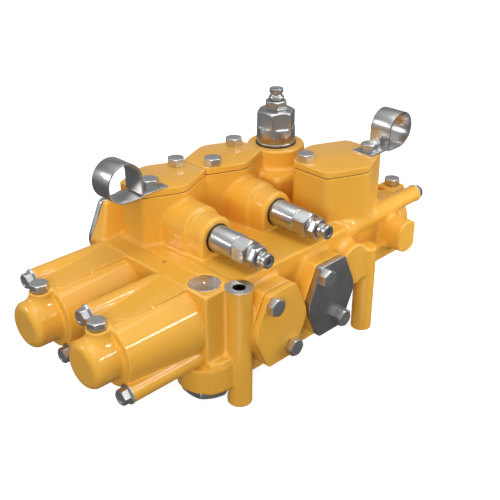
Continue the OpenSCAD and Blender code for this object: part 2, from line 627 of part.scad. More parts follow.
// ---------- hose clips ----------
// s = -1: loop towards -X, s = 1: loop towards +X
module hose_clip(x, y, s) color(zinc) translate([x, y, top_face_z + gasket_t + cover_t]) mirror([s < 0 ? 1 : 0, 0, 0])
    difference() {
        // the loop is a hair thinner than the flat strip, so that its ends sit inside the tab and the leg
        translate([0, clip_w / 2, 0]) rotate([90, 0, 0]) linear_extrude(clip_w) union() {
            polygon([[-15, 0], [17, 0], [25, -clip_dip], [clip_reach + 1, -clip_dip], [clip_reach + 1, clip_t - clip_dip],
                [25.2, clip_t - clip_dip], [17.2, clip_t], [-15, clip_t]]);
            difference() {
                translate([clip_reach, clip_r - clip_dip]) circle(r = clip_r - 0.05, $fn = 96);
                translate([clip_reach, clip_r - clip_dip]) circle(r = clip_r - clip_t + 0.05, $fn = 96);
                translate([clip_reach - clip_r - 1, -3]) square([clip_r + 1, clip_r - clip_dip + 3]);
            }
            translate([clip_reach - clip_r, clip_t + 0.3]) square([clip_t, clip_r - clip_dip - clip_t + 0.7]);
        }
        translate([0, 0, -1]) cylinder(r = 5.9, h = 6);
    }
module left_hose_clip() hose_clip(cov1[0] - p114[0], cov1[1] - p114[1], -1);
module right_hose_clip() hose_clip(cov3[0] + p112[0], cov3[1] - p112[1], 1);

// ---------- assembly ----------
valve_body();
front_spool_cap();
rear_spool_cap();
front_end_cover();
rear_end_cover();
cap_bolts();
end_cover_bolts();
cap_plugs();
end_cover_plugs();
cap_seals();
end_cover_seals();
plug_seals();
left_top_cover();
middle_top_cover();
right_top_cover();
top_cover_gaskets();
top_cover_bolts();
side_cover();
side_plate();
side_gaskets();
side_bolts();
rear_plate();
rear_gasket();
rear_bolts();
deck_plug();
bottom_plug();
bottom_plug_seal();
check_poppet();
check_spring();
front_spool();
rear_spool();
front_spring_cup();
rear_spring_cup();
front_cup_bolt();
rear_cup_bolt();
front_cap_spring();
rear_cap_spring();
front_end_spring();
rear_end_spring();
left_relief_body();
left_relief_locknut();
left_relief_screw();
left_relief_poppet();
left_relief_spring();
right_relief_body();
right_relief_locknut();
right_relief_screw();
right_relief_poppet();
right_relief_spring();
main_relief_body();
main_relief_locknut();
main_relief_screw();
main_relief_poppet();
main_relief_spring();
relief_seals();
left_hose_clip();
right_hose_clip();
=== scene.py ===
"""Looks of the transmission control valve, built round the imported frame.

The castings are signed distance fields turned into meshes by dual contouring, so that
their walls, bosses and bores blend with true fillets. Fasteners, cartridges, plates and
clips are lofted meshes. All lengths in this file are millimetres until a mesh is made.
"""

import math

import bpy
import numpy as np

from mathutils import Matrix, Vector


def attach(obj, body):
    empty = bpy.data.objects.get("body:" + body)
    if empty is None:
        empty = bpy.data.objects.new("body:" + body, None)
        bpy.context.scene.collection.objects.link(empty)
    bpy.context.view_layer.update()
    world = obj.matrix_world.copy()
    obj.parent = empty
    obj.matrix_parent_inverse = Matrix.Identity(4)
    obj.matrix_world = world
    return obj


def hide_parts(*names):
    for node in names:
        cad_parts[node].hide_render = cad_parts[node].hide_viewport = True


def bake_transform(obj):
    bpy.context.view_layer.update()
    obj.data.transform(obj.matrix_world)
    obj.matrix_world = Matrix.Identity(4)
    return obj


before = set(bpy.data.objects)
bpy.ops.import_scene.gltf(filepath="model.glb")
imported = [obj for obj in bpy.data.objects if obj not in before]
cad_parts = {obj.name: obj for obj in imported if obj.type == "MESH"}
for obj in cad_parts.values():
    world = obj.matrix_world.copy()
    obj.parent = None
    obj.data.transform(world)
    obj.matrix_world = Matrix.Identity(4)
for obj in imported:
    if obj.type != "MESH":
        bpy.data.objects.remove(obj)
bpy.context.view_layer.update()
scene = bpy.context.scene
MM = 0.001

# ---------------------------------------------------------------- camera
BACK = Vector((-0.6255, -0.6255, 0.4664))
cam_data = bpy.data.cameras.new("camera")
cam_data.sensor_width = 36.0
cam_data.lens = 60.12
cam_data.clip_start = 0.05
cam_data.clip_end = 50.0
camera = bpy.data.objects.new("camera", cam_data)
scene.collection.objects.link(camera)
camera.rotation_mode = "QUATERNION"
camera.rotation_quaternion = (-BACK).to_track_quat("-Z", "Y")
camera.location = (-0.6466, -0.648, 0.600)
scene.camera = camera


# ---------------------------------------------------------------- distance fields
def rmin(a, b, r):
    """Union of two distances with a fillet of radius r."""
    if r <= 0:
        return np.minimum(a, b)
    ua = np.maximum(r - a, 0)
    ub = np.maximum(r - b, 0)
    return np.maximum(r, np.minimum(a, b)) - np.sqrt(ua * ua + ub * ub)


def rmax(a, b, r):
    return -rmin(-a, -b, r)


class Shape:
    """A distance function with the box that holds its surface."""

    def __init__(self, fn, lo, hi):
        self.fn = fn
        self.lo = np.array(lo, float)
        self.hi = np.array(hi, float)


def box(lo, hi, r=2.0):
    lo, hi = np.array(lo, float), np.array(hi, float)
    c, h = (lo + hi) / 2, (hi - lo) / 2 - r

    def fn(x, y, z):
        qx, qy, qz = np.abs(x - c[0]) - h[0], np.abs(y - c[1]) - h[1], np.abs(z - c[2]) - h[2]
        out = np.sqrt(np.maximum(qx, 0) ** 2 + np.maximum(qy, 0) ** 2 + np.maximum(qz, 0) ** 2)
        return out + np.minimum(np.maximum(qx, np.maximum(qy, qz)), 0) - r

    return Shape(fn, lo, hi)


def split(axis, x, y, z):
    if axis == "x":
        return x, y, z
    if axis == "y":
        return y, x, z
    return z, x, y


def corners(axis, t0, t1, u, v, ru, rv):
    if axis == "x":
        return (t0, u - ru, v - rv), (t1, u + ru, v + rv)
    if axis == "y":
        return (u - ru, t0, v - rv), (u + ru, t1, v + rv)
    return (u - ru, v - rv, t0), (u + ru, v + rv, t1)


def cone(axis, r0, r1, t0, t1, at, e=1.5):
    """A round bar or cone frustum from radius r0 at t0 to r1 at t1, edges rounded by e."""
    u0, v0 = at
    s = (r1 - r0) / (t1 - t0)
    k = 1 / math.sqrt(1 + s * s)
    mid, half = (t0 + t1) / 2, (t1 - t0) / 2

    def fn(x, y, z):
        t, u, v = split(axis, x, y, z)
        side = (np.sqrt((u - u0) ** 2 + (v - v0) ** 2) - (r0 + s * (t - t0))) * k
        return rmax(side, np.abs(t - mid) - half, e)

    big = max(r0, r1)
    lo, hi = corners(axis, t0, t1, u0, v0, big, big)
    return Shape(fn, lo, hi)


def cyl(axis, r, t0, t1, at, e=1.5):
    return cone(axis, r, r, t0, t1, at, e)


OUTLINES = {"small": (48.6, 42.0, 21.0, 6.0, 25.0), "large": (53.3, 51.2, 28.0, 10.0, 30.0), "side": (47.0, 43.0, 21.0, 6.0, 25.0)}


def outline_distance(a, b, kind):
    """Distance to the cover outline: a long hexagon with rounded corners and broad rounded apexes."""
    l, w, f, rc, ra = OUTLINES[kind]
    s = math.atan2(w - f, l)
    cs, sn = math.cos(s), math.sin(s)
    a, b = np.abs(a), np.abs(b)
    d = np.maximum(a - l, a * sn + b * cs - w * cs)
    u, v = a - (l - rc), b - (w - rc / cs - math.tan(s) * (l - rc))
    d = np.where((v > 0) & (u * cs - v * sn > 0), np.sqrt(u * u + v * v) - rc, d)
    v = b - (w - ra / cs)
    return np.where((v > 0) & (v * sn - a * cs > 0), np.sqrt(a * a + v * v) - ra, d)


def lens(axis, at, t0, t1, kind="small", grow=0.0, e=1.5):
    """The cover outline, extruded."""
    l, w = OUTLINES[kind][:2]
    l, w = l + grow, w + grow
    u0, v0 = at
    mid, half = (t0 + t1) / 2, (t1 - t0) / 2

    def fn(x, y, z):
        t, u, v = split(axis, x, y, z)
        a, b = (u - u0, v - v0) if axis == "z" else (v - v0, u - u0)
        return rmax(outline_distance(a, b, kind) - grow, np.abs(t - mid) - half, e)

    ru, rv = (l, w) if axis == "z" else (w, l)
    lo, hi = corners(axis, t0, t1, u0, v0, ru, rv)
    return Shape(fn, lo, hi)


def hexbar(at, af, z0, z1, turn):
    """An upright hexagonal bar with a flat facing the angle turn."""
    mid, half = (z0 + z1) / 2, (z1 - z0) / 2
    dirs = [(math.cos(math.radians(turn + k)), math.sin(math.radians(turn + k))) for k in (0, 60, 120)]

    def fn(x, y, z):
        d = np.abs(z - mid) - half
        for c, q in dirs:
            d = np.maximum(d, np.abs((x - at[0]) * c + (y - at[1]) * q) - af / 2)
        return d

    r = af / math.sqrt(3)
    return Shape(fn, (at[0] - r, at[1] - r, z0), (at[0] + r, at[1] + r, z1))


def arch(x0, zc, half0, half1, y0, y1, e=5.0):
    """A round-topped boss with straight sides that runs back and widens along +Y from its face at y0."""
    mid, h = (y0 + y1) / 2, (y1 - y0) / 2

    def fn(x, y, z):
        half = half0 + (half1 - half0) * np.clip((y - y0) / (y1 - y0), 0, 1)
        d = np.sqrt((x - x0) ** 2 + np.maximum(z - zc, 0) ** 2) - half
        d = np.maximum(d, 140 - z)
        return rmax(d, np.abs(y - mid) - h, e)

    big = max(half0, half1)
    return Shape(fn, (x0 - big, y0, 140), (x0 + big, y1, zc + big))


def plane(px, py, pz, nx, ny, nz):
    n = math.sqrt(nx * nx + ny * ny + nz * nz)
    nx, ny, nz = nx / n, ny / n, nz / n
    return lambda x, y, z: (x - px) * nx + (y - py) * ny + (z - pz) * nz


def cut(shape, fn, r=2.0):
    """The shape kept where fn is negative, with the new edge rounded by r."""
    return Shape(lambda x, y, z: rmax(shape.fn(x, y, z), fn(x, y, z), r), shape.lo, shape.hi)


def bar(p0, p1, r):
    """A round bar between two points with ball ends."""
    a, b = np.array(p0, float), np.array(p1, float)
    d = b - a
    dd = float(d @ d)

    def fn(x, y, z):
        px, py, pz = x - a[0], y - a[1], z - a[2]
        t = np.clip((px * d[0] + py * d[1] + pz * d[2]) / dd, 0, 1)
        return np.sqrt((px - t * d[0]) ** 2 + (py - t * d[1]) ** 2 + (pz - t * d[2]) ** 2) - r

    return Shape(fn, np.minimum(a, b) - r, np.maximum(a, b) + r)


class Field:
    """Shapes added and cut in order. Each is worked out only near its own box."""

    def __init__(self):
        self.ops = []

    def add(self, shape, k=3.0):
        self.ops.append(("add", shape, k))

    def sub(self, shape, k=0.6):
        self.ops.append(("sub", shape, k))

    def bounds(self):
        los = [s.lo for o, s, _ in self.ops if o == "add"]
        his = [s.hi for o, s, _ in self.ops if o == "add"]
        return np.min(los, axis=0), np.max(his, axis=0)

    def points(self, p):
        d = np.full(len(p), 60.0)
        for op, s, k in self.ops:
            m = k + 9.0
            near = np.all((p > s.lo - m) & (p < s.hi + m), axis=1)
            if not near.any():
                continue
            q = p[near]
            v = s.fn(q[:, 0], q[:, 1], q[:, 2])
            d[near] = rmin(d[near], v, k) if op == "add" else rmax(d[near], -v, k)
        return d

    def grid(self, xs, ys, zs):
        d = np.full((len(xs), len(ys), len(zs)), 60.0, np.float32)
        for op, s, k in self.ops:
            m = k + 9.0
            sl = []
            for a, axis in ((xs, 0), (ys, 1), (zs, 2)):
                i0 = int(np.searchsorted(a, s.lo[axis] - m))
                i1 = int(np.searchsorted(a, s.hi[axis] + m))
                sl.append(slice(i0, i1))
            if any(c.start >= c.stop for c in sl):
                continue
            x = xs[sl[0]].astype(np.float32)[:, None, None]
            y = ys[sl[1]].astype(np.float32)[None, :, None]
            z = zs[sl[2]].astype(np.float32)[None, None, :]
            v = s.fn(x, y, z).astype(np.float32)
            old = d[sl[0], sl[1], sl[2]]
            d[sl[0], sl[1], sl[2]] = rmin(old, v, k) if op == "add" else rmax(old, -v, k)
        return d

    def normals(self, p, h=0.05):
        k = np.array([(1, -1, -1), (-1, -1, 1), (-1, 1, -1), (1, 1, 1)], float)
        n = np.zeros_like(p)
        for row in k:
            n += row * self.points(p + row * h)[:, None]
        return n / np.maximum(np.linalg.norm(n, axis=1), 1e-9)[:, None]


def contour(field, step):
    """Dual contouring: one point per crossed cell, set where its edge planes meet."""
    lo, hi = field.bounds()
    lo, hi = lo - 2.37 * step, hi + 2.61 * step
    n = np.ceil((hi - lo) / step).astype(int) + 1
    xs, ys, zs = (lo[i] + step * np.arange(n[i]) for i in range(3))
    d = field.grid(xs, ys, zs)
    d[np.abs(d) < 1e-4] = 1e-4
    axes = (xs, ys, zs)
    cells = n - 1
    edge_cells, edge_points, edge_signs, edge_axis = [], [], [], []
    for a in range(3):
        sl0 = [slice(None)] * 3
        sl1 = [slice(None)] * 3
        sl0[a], sl1[a] = slice(0, -1), slice(1, None)
        d0, d1 = d[tuple(sl0)], d[tuple(sl1)]
        idx = np.argwhere((d0 < 0) != (d1 < 0))
        b, c = [i for i in range(3) if i != a]
        ok = (idx[:, b] > 0) & (idx[:, c] > 0) & (idx[:, b] < cells[b]) & (idx[:, c] < cells[c])
        idx = idx[ok]
        v0 = d0[idx[:, 0], idx[:, 1], idx[:, 2]].astype(float)
        v1 = d1[idx[:, 0], idx[:, 1], idx[:, 2]].astype(float)
        t = v0 / (v0 - v1)
        base = np.stack([axes[i][idx[:, i]] for i in range(3)], axis=1)
        lo_t, hi_t = np.zeros(len(t)), np.ones(len(t))
        for _ in range(2):
            p = base.copy()
            p[:, a] += t * step
            v = field.points(p)
            left = (v < 0) == (v0 < 0)
            lo_t = np.where(left, t, lo_t)
            hi_t = np.where(left, hi_t, t)
            v0n = np.where(left, v, v0)
            v1n = np.where(left, v1, v)
            v0, v1 = v0n, v1n
            t = lo_t + (hi_t - lo_t) * v0 / np.where(np.abs(v0 - v1) < 1e-9, 1e-9, v0 - v1)
            t = np.clip(t, lo_t, hi_t)
        p = base.copy()
        p[:, a] += t * step
        edge_points.append(p)
        edge_signs.append(d0[idx[:, 0], idx[:, 1], idx[:, 2]] < 0)
        around = []
        for ob, oc in ((0, 0), (-1, 0), (-1, -1), (0, -1)):
            cell = idx.copy()
            cell[:, b] += ob
            cell[:, c] += oc
            around.append(cell[:, 0] * cells[1] * cells[2] + cell[:, 1] * cells[2] + cell[:, 2])
        edge_cells.append(np.stack(around, axis=1))
        edge_axis.append(np.full(len(idx), a))
    points = np.vstack(edge_points)
    signs = np.concatenate(edge_signs)
    ring = np.vstack(edge_cells)
    axis = np.concatenate(edge_axis)
    normals = field.normals(points)
    used, inverse = np.unique(ring, return_inverse=True)
    inverse = inverse.reshape(ring.shape)
    m = len(used)
    flat = inverse.ravel()
    rep = np.repeat(np.arange(len(points)), 4)
    count = np.bincount(flat, minlength=m).astype(float)
    mass = np.stack([np.bincount(flat, weights=points[rep, i], minlength=m) for i in range(3)], axis=1) / count[:, None]
    nn = normals[rep]
    rel = np.einsum("ij,ij->i", nn, points[rep] - mass[flat])
    ata = np.zeros((m, 3, 3))
    for i in range(3):
        for j in range(i, 3):
            s = np.bincount(flat, weights=nn[:, i] * nn[:, j], minlength=m)
            ata[:, i, j] = s
            ata[:, j, i] = s
    atb = np.stack([np.bincount(flat, weights=nn[:, i] * rel, minlength=m) for i in range(3)], axis=1)
    ata += np.eye(3)[None] * 0.06
    move = np.linalg.solve(ata, atb[:, :, None])[:, :, 0]
    verts = mass + move
    cz = used % cells[2]
    cy = (used // cells[2]) % cells[1]
    cx = used // (cells[1] * cells[2])
    corner = np.stack([xs[cx], ys[cy], zs[cz]], axis=1)
    verts = np.clip(verts, corner - 0.05 * step, corner + 1.05 * step)
    quads = inverse.copy()
    flip = signs ^ (axis == 1)
    quads[~flip] = quads[~flip][:, ::-1]
    return verts, quads


def skin(name, field, step, body="housing", sharp=38.0):
    """Mesh of a field, with shading normals taken from the field itself."""
    verts, quads = contour(field, step)
    mesh = bpy.data.meshes.new(name)
    mesh.vertices.add(len(verts))
    mesh.vertices.foreach_set("co", (verts * MM).astype(np.float32).ravel())
    mesh.loops.add(len(quads) * 4)
    mesh.loops.foreach_set("vertex_index", quads.astype(np.int32).ravel())
    mesh.polygons.add(len(quads))
    mesh.polygons.foreach_set("loop_start", np.arange(0, len(quads) * 4, 4, dtype=np.int32))
    mesh.polygons.foreach_set("loop_total", np.full(len(quads), 4, dtype=np.int32))
    mesh.update(calc_edges=True)
    mesh.validate()
    mesh.polygons.foreach_set("use_smooth", np.ones(len(mesh.polygons), bool))
    q = verts[quads]
    fn = np.cross(q[:, 2] - q[:, 0], q[:, 3] - q[:, 1])
    fn /= np.maximum(np.linalg.norm(fn, axis=1), 1e-12)[:, None]
    vn = field.normals(verts, 0.12)
    loop_n = vn[quads.ravel()]
    face_n = np.repeat(fn, 4, axis=0)
    off = np.einsum("ij,ij->i", loop_n, face_n) < math.cos(math.radians(sharp))
    if off.any():
        centre = np.repeat(q.mean(axis=1), 4, axis=0)[off]
        inner = verts[quads.ravel()][off] * 0.45 + centre * 0.55
        better = field.normals(inner, 0.12)
        bad = np.einsum("ij,ij->i", better, face_n[off]) < 0.5
        better[bad] = face_n[off][bad]
        loop_n[off] = better
    if len(mesh.loops) == len(loop_n):
        mesh.normals_split_custom_set(loop_n.astype(np.float32))
    obj = bpy.data.objects.new(name, mesh)
    scene.collection.objects.link(obj)
    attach(obj, body)
    return obj


# ---------------------------------------------------------------- lofted pieces
def circle_ring(r, z, n=72, twist=0.0):
    a = np.arange(n) * 2 * math.pi / n + twist
    return np.stack([r * np.cos(a), r * np.sin(a), np.full(n, float(z))], axis=1)


def hex_radius(af, a):
    """Distance to the side of a hexagon of that size across flats, its flat facing angle 0."""
    s = math.pi / 3
    b = (a + s / 2) % s - s / 2
    return (af / 2) / np.cos(b)


def hex_ring(af, z, n=72, twist=0.0, cap=None, slope=0.55):
    """A hexagonal ring. With cap, points further out than cap drop away as a chamfer does."""
    a = np.arange(n) * 2 * math.pi / n
    r = hex_radius(af, a)
    zz = np.full(n, float(z))
    if cap is not None:
        zz = zz - np.maximum(r - cap, 0) * slope
    return np.stack([r * np.cos(a + twist), r * np.sin(a + twist), zz], axis=1)


class Piece:
    """Collects lofted rings into one mesh."""

    def __init__(self):
        self.v, self.f, self.m = [], [], []
        self.n = 0

    def loft(self, rings, place=Matrix.Identity(4), close=False, cap0=True, cap1=True, slot=0):
        """Rings go from the start round the outside to the end. place maps piece to row, in mm."""
        n = len(rings[0])
        base = self.n
        for ring in rings:
            for p in ring:
                self.v.append(place @ Vector(p))
        self.n += n * len(rings)
        count = len(rings)
        last = count if close else count - 1
        for i in range(last):
            a, b = base + i * n, base + ((i + 1) % count) * n
            for j in range(n):
                k = (j + 1) % n
                self.f.append((a + j, a + k, b + k, b + j))
                self.m.append(slot)
        if not close:
            if cap0:
                self.f.append(tuple(base + j for j in reversed(range(n))))
                self.m.append(slot)
            if cap1:
                top = base + (count - 1) * n
                self.f.append(tuple(top + j for j in range(n)))
                self.m.append(slot)

    def make(self, name, body, bevel=0.0, angle=32.0, segments=2):
        mesh = bpy.data.meshes.new(name)
        mesh.from_pydata([(p.x * MM, p.y * MM, p.z * MM) for p in self.v], [], self.f)
        mesh.polygons.foreach_set("material_index", np.array(self.m, np.int32))
        mesh.polygons.foreach_set("use_smooth", np.ones(len(mesh.polygons), bool))
        mesh.update()
        obj = bpy.data.objects.new(name, mesh)
        scene.collection.objects.link(obj)
        if bevel > 0:
            mod = obj.modifiers.new("bevel", "BEVEL")
            mod.width = bevel * MM
            mod.segments = segments
            mod.limit_method = "ANGLE"
            mod.angle_limit = math.radians(angle)
            mod.harden_normals = False
            mod.use_clamp_overlap = True
            bpy.context.view_layer.update()
            deps = bpy.context.evaluated_depsgraph_get()
            new = bpy.data.meshes.new_from_object(obj.evaluated_get(deps))
            obj.modifiers.clear()
            obj.data = new
            bpy.data.meshes.remove(mesh)
            new.name = name
            new.polygons.foreach_set("use_smooth", np.ones(len(new.polygons), bool))
        obj.data.set_sharp_from_angle(angle=math.radians(angle))
        if body is not None:
            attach(obj, body)
        return obj


def along(axis, at, flip=False, twist=0.0):
    """Matrix that stands a piece's Z on a row axis, with its foot at the point given."""
    turn = Matrix.Rotation(math.radians(twist), 4, "Z")
    if axis == "z":
        rot = Matrix.Rotation(math.pi, 4, "X") if flip else Matrix.Identity(4)
    elif axis == "y":
        rot = Matrix.Rotation(math.pi / 2 if flip else -math.pi / 2, 4, "X")
    else:
        rot = Matrix.Rotation(-math.pi / 2 if flip else math.pi / 2, 4, "Y")
    return Matrix.Translation(Vector(at)) @ rot @ turn


def hex_head(p, place, af, h, cap=0.97, slot=0, n=72, washer=0.0):
    """A hex head with its chamfered corners, foot at 0."""
    rings = []
    if washer > 0:
        rings += [circle_ring(af * 0.47, 0, n), circle_ring(af * 0.47, washer, n)]
        rings += [hex_ring(af * 0.998, washer, n, cap=af / 2 * 1.04, slope=-0.4)]
    else:
        rings += [hex_ring(af, 0, n)]
    rings += [hex_ring(af, h - 0.12, n, cap=af / 2 * cap)]
    rings += [circle_ring(af / 2 * cap - 0.25, h, n), circle_ring(af / 2 * 0.6, h, n), circle_ring(0.02, h, n)]
    p.loft(rings, place, slot=slot)


def prism(p, outline, z0, z1, bevel, place=Matrix.Identity(4), slot=0):
    """A flat plate from a dense closed outline (counterclockwise), with rounded rims."""
    o = np.array(outline, float)
    nxt, prv = np.roll(o, -1, axis=0), np.roll(o, 1, axis=0)
    t = nxt - prv
    t /= np.maximum(np.linalg.norm(t, axis=1), 1e-9)[:, None]
    inward = np.stack([-t[:, 1], t[:, 0]], axis=1)
    rings = []
    steps = 3
    for i in range(steps + 1):
        a = math.pi / 2 * i / steps
        q = o + inward * bevel * (1 - math.sin(a))
        rings.append(np.column_stack([q, np.full(len(o), z0 + bevel * (1 - math.cos(a)))]))
    for i in range(steps + 1):
        a = math.pi / 2 * i / steps
        q = o + inward * bevel * (1 - math.cos(a))
        rings.append(np.column_stack([q, np.full(len(o), z1 - bevel * (1 - math.sin(a)))]))
    p.loft(rings, place, slot=slot)


def lens_outline(kind="small", n=300):
    """Points round the cover outline, found on the distance field by marching rays."""

    def d(a, b):
        return outline_distance(a, b, kind)

    ang = np.arange(n) * 2 * math.pi / n
    ca, sa = np.cos(ang), np.sin(ang)
    lo, hi = np.zeros(n), np.full(n, 90.0)
    for _ in range(40):
        mid = (lo + hi) / 2
        inside = d(mid * ca, mid * sa) < 0
        lo = np.where(inside, mid, lo)
        hi = np.where(inside, hi, mid)
    pts = np.stack([lo * ca, lo * sa], axis=1)
    seg = np.linalg.norm(np.roll(pts, -1, axis=0) - pts, axis=1)
    s = np.concatenate([[0], np.cumsum(seg)])
    want = np.linspace(0, s[-1], n, endpoint=False)
    closed = np.vstack([pts, pts[:1]])
    return np.stack([np.interp(want, s, closed[:, 0]), np.interp(want, s, closed[:, 1])], axis=1)


# ---------------------------------------------------------------- casting fields
COV1, COV2, COV3 = (-75.6, 67.5), (23.0, 68.3), (119.0, -36.6)
SIDE1, SIDE2 = (-65.0, 90.0), (21.0, 91.0)
REAR1, REAR2 = (-108.5, 141.0), (24.5, 92.0)
PLUG = (-132.0, -64.0)
FRONT_Y, REAR_Y, SPOOL_Z = -42.0, 63.0, 104.0
LR_Z = 170.5
MAIN = (109.0, 60.0)
TOP = 210.5


def body_field():
    b = Field()
    slope = plane(0, 98, 150, 0, 1, 1)
    left = cut(box((-152, -88, 40), (-108, 108, 150), 2.5), plane(0, 0, 64, 0, 0, -1), 7.0)
    b.add(cut(left, slope, 2.5), 0)
    b.add(cut(box((-125, -88, 21.5), (64, 108, 150), 2.5), slope, 2.5), 3.0)
    end = cut(box((50, -76, 76), (199, 108, 150), 2.5), slope, 2.5)
    b.add(end, 5.0)
    # lower front rail and the upper rib that carries the lug tube
    b.add(box((58, -88, 76), (199, -60, 101), 6.0), 5.0)
    b.add(box((52, -88, 90), (80, -66, 150), 3.0), 5.0)
    b.add(bar((90, -76, 138.4), (190, -70, 139.5), 11.5), 5.0)
    b.add(cyl("x", 11.0, 150, 199, (-72, 141), 0.5), 4.0)
    b.add(cyl("x", 11.0, 150, 199, (33, 69.5), 0.5), 4.0)
    # bottom plug boss and posts
    b.add(cyl("z", 34, 27, 58, PLUG, 2.0), 4.0)
    b.add(cut(cyl("z", 34, 27, 66, PLUG, 4.0), plane(-151.5, 0, 0, -1, 0, 0), 0.5), 6.0)
    b.add(cyl("z", 14.3, 0.1, 149.8, (-111, -96), 1.5), 5.0)
    b.add(cyl("z", 13, 0.1, 118, (111, -96), 1.5), 5.0)
    b.add(cyl("z", 15, 0.1, 136, (-111, 96), 1.5), 5.0)
    b.add(cyl("z", 15, 0.1, 136, (111, 96), 1.5), 5.0)
    # side port bosses
    b.add(lens("y", SIDE1, -109, -78, "side", e=0.5), 6.0)
    b.add(lens("y", SIDE2, -109, -78, "side", e=0.5), 6.0)
    # round and oblong blank bosses
    b.add(cyl("y", 27, -103, -60, (82, 104), 1.5), 7.0)
    oblong = cyl("y", 21.5, -110, -60, (180, 111), 1.5)
    oblong = cut(oblong, plane(198, 0, 0, 1, 0, 0), 5.0)
    oblong = cut(oblong, plane(162, 0, 0, -1, 0, 0), 5.0)
    b.add(oblong, 7.0)
    # rear bosses
    lean = plane(0, 95.4, 150, 0, -40, 16)
    b.add(cut(lens("y", REAR1, 90, 117, "side", e=1.2), lean, 3.0), 5.0)
    flare = cut(box((-151.9, 90, 112), (-84, 116.8, 188), 1.2), plane(-127.2, 0, 187.8, -41.8, 0, 24.7), 1.2)
    b.add(cut(flare, lean, 3.0), 2.0)
    b.add(box((-103, 88, 140), (-84, 116.5, 184), 3.0), 5.0)
    b.add(lens("y", REAR2, 100, 117, "side", e=1.2), 6.0)
    # columns under the top covers
    b.add(box((-60, 47, 140), (10, 97, 205), 5.0), 6.0)
    b.add(lens("z", COV1, 140, TOP, e=0.8), 6.0)
    b.add(lens("z", COV2, 140, TOP, e=0.8), 6.0)
    b.add(box((60, 10, 140), (112, 70, 190), 8.0), 8.0)
    b.add(lens("z", COV3, 140, TOP, "large", e=0.8), 6.0)
    b.add(box((40, 50, 140), (100, 92, 203), 6.0), 6.0)
    b.add(cyl("z", 37.3, 140, 215, MAIN, 3.0), 6.0)
    # arched bosses of the line relief cartridges
    for x, wide in ((COV1[0], 29.2), (COV2[0], 28.4)):
        b.add(arch(x, 171.5, wide - 0.6, wide + 0.6, -1, 60, 3.2), 4.0)
        b.add(arch(x, LR_Z, 24.3, 26.6, -25, 40, 3.4), 2.5)
    # room for the middle cover beside the main relief column
    b.sub(lens("z", COV2, TOP, TOP + 20, grow=0.8, e=0.3), 0.6)
    # spot face round the hole of the front left post
    b.sub(cyl("z", 16.0, 149.6, 158, (-111, -96), 0.0), 0.4)
    # bores
    b.sub(cyl("x", 14.5, -160, 205, (FRONT_Y, SPOOL_Z), 0.0), 0.3)
    b.sub(cyl("x", 14.5, -160, 205, (REAR_Y, SPOOL_Z), 0.0), 0.3)
    for c, r in ((COV1, 19), (COV2, 19), (COV3, 22)):
        b.sub(cyl("z", r, 99, TOP + 4, c, 0.0), 0.4)
    for c in (SIDE1, SIDE2):
        b.sub(cyl("y", 19, -114, -37, c, 0.0), 0.4)
    b.sub(cyl("y", 17.5, 103, 122, REAR1, 0.0), 0.4)
    b.sub(cyl("y", 8, 60, 106, (REAR1[0], 122), 0.0), 0.4)
    b.sub(cyl("y", 19, 79, 122, REAR2, 0.0), 0.8)
    b.sub(cyl("y", 11, 58, 82, (REAR2[0], 95), 0.0), 0.4)
    for sx in (-15.9, 15.9):
        for sz in (-33.35, 33.35):
            b.sub(cyl("y", 5.4, 93, 122, (REAR2[0] + sx, REAR2[1] + sz), 0.0), 0.5)
    for x in (COV1[0], COV2[0]):
        b.sub(cyl("y", 16.7, -36, 22, (x, LR_Z), 0.0), 1.2)
        b.sub(cyl("y", 9, 18, 60, (x, LR_Z), 0.0), 0.4)
    b.sub(cyl("z", 25.6, 196, 220, MAIN, 0.0), 0.8)
    b.sub(cyl("z", 15.6, 160, 200, MAIN, 0.0), 0.4)
    b.sub(cyl("z", 8, 98, 162, MAIN, 0.0), 0.4)
    b.sub(cyl("z", 17.7, 141, 156, (-132, -64), 0.0), 0.6)
    b.sub(cyl("z", 10.3, 128, 145, (-132, -64), 0.0), 0.3)
    b.sub(cyl("z", 1.3, 142, 156, (-131.6, 3.8), 0.0), 0.2)
    b.sub(hexbar(PLUG, 53.0, 8, 26.8, 2), 0.6)
    b.sub(cyl("z", 20.2, 20, 44, PLUG, 0.0), 0.5)
    b.sub(cyl("z", 12.5, 42, 56, PLUG, 0.0), 0.3)
    b.sub(cyl("z", 7.1, -6, 156, (-111, -96), 0.0), 0.5)
    for x, y in ((111, -96), (-111, 96), (111, 96)):
        b.sub(cyl("z", 7, -6, 45, (x, y), 0.0), 0.5)
    return b


def cap_field(cy):
    c = Field()
    c.add(cone("x", 37, 45, -247, -152, (cy, 104), 1.0), 0)
    # flat pad from the upper bolt tube over the barrel
    pad = box((-247, cy - 18, 104), (-152, cy + 30, 152), 0.3)
    pad = cut(pad, plane(-152, 0, 149.9, -0.098, 0, 1), 0.3)
    pad = cut(pad, plane(-152, cy - 17.6, 0, -0.0842, -1, 0), 0.4)
    c.add(pad, 0.3)
    c.add(cyl("x", 11.0, -247.5, -152, (cy + 30, 139), 0.8), 1.5)
    c.add(cyl("x", 11.0, -247.5, -152, (cy - 30, 69.5), 0.8), 2.0)
    c.add(cyl("x", 27, -280.9, -235, (cy, 104), 9.0), 3.0)
    c.add(cyl("z", 12.2, 104, 140.4, (-257, cy), 1.0), 8.0)
    c.sub(cyl("x", 29, -236, -146, (cy, 104), 0.0), 0.3)
    c.sub(cyl("x", 14.5, -266, -232, (cy, 104), 0.0), 0.3)
    return c


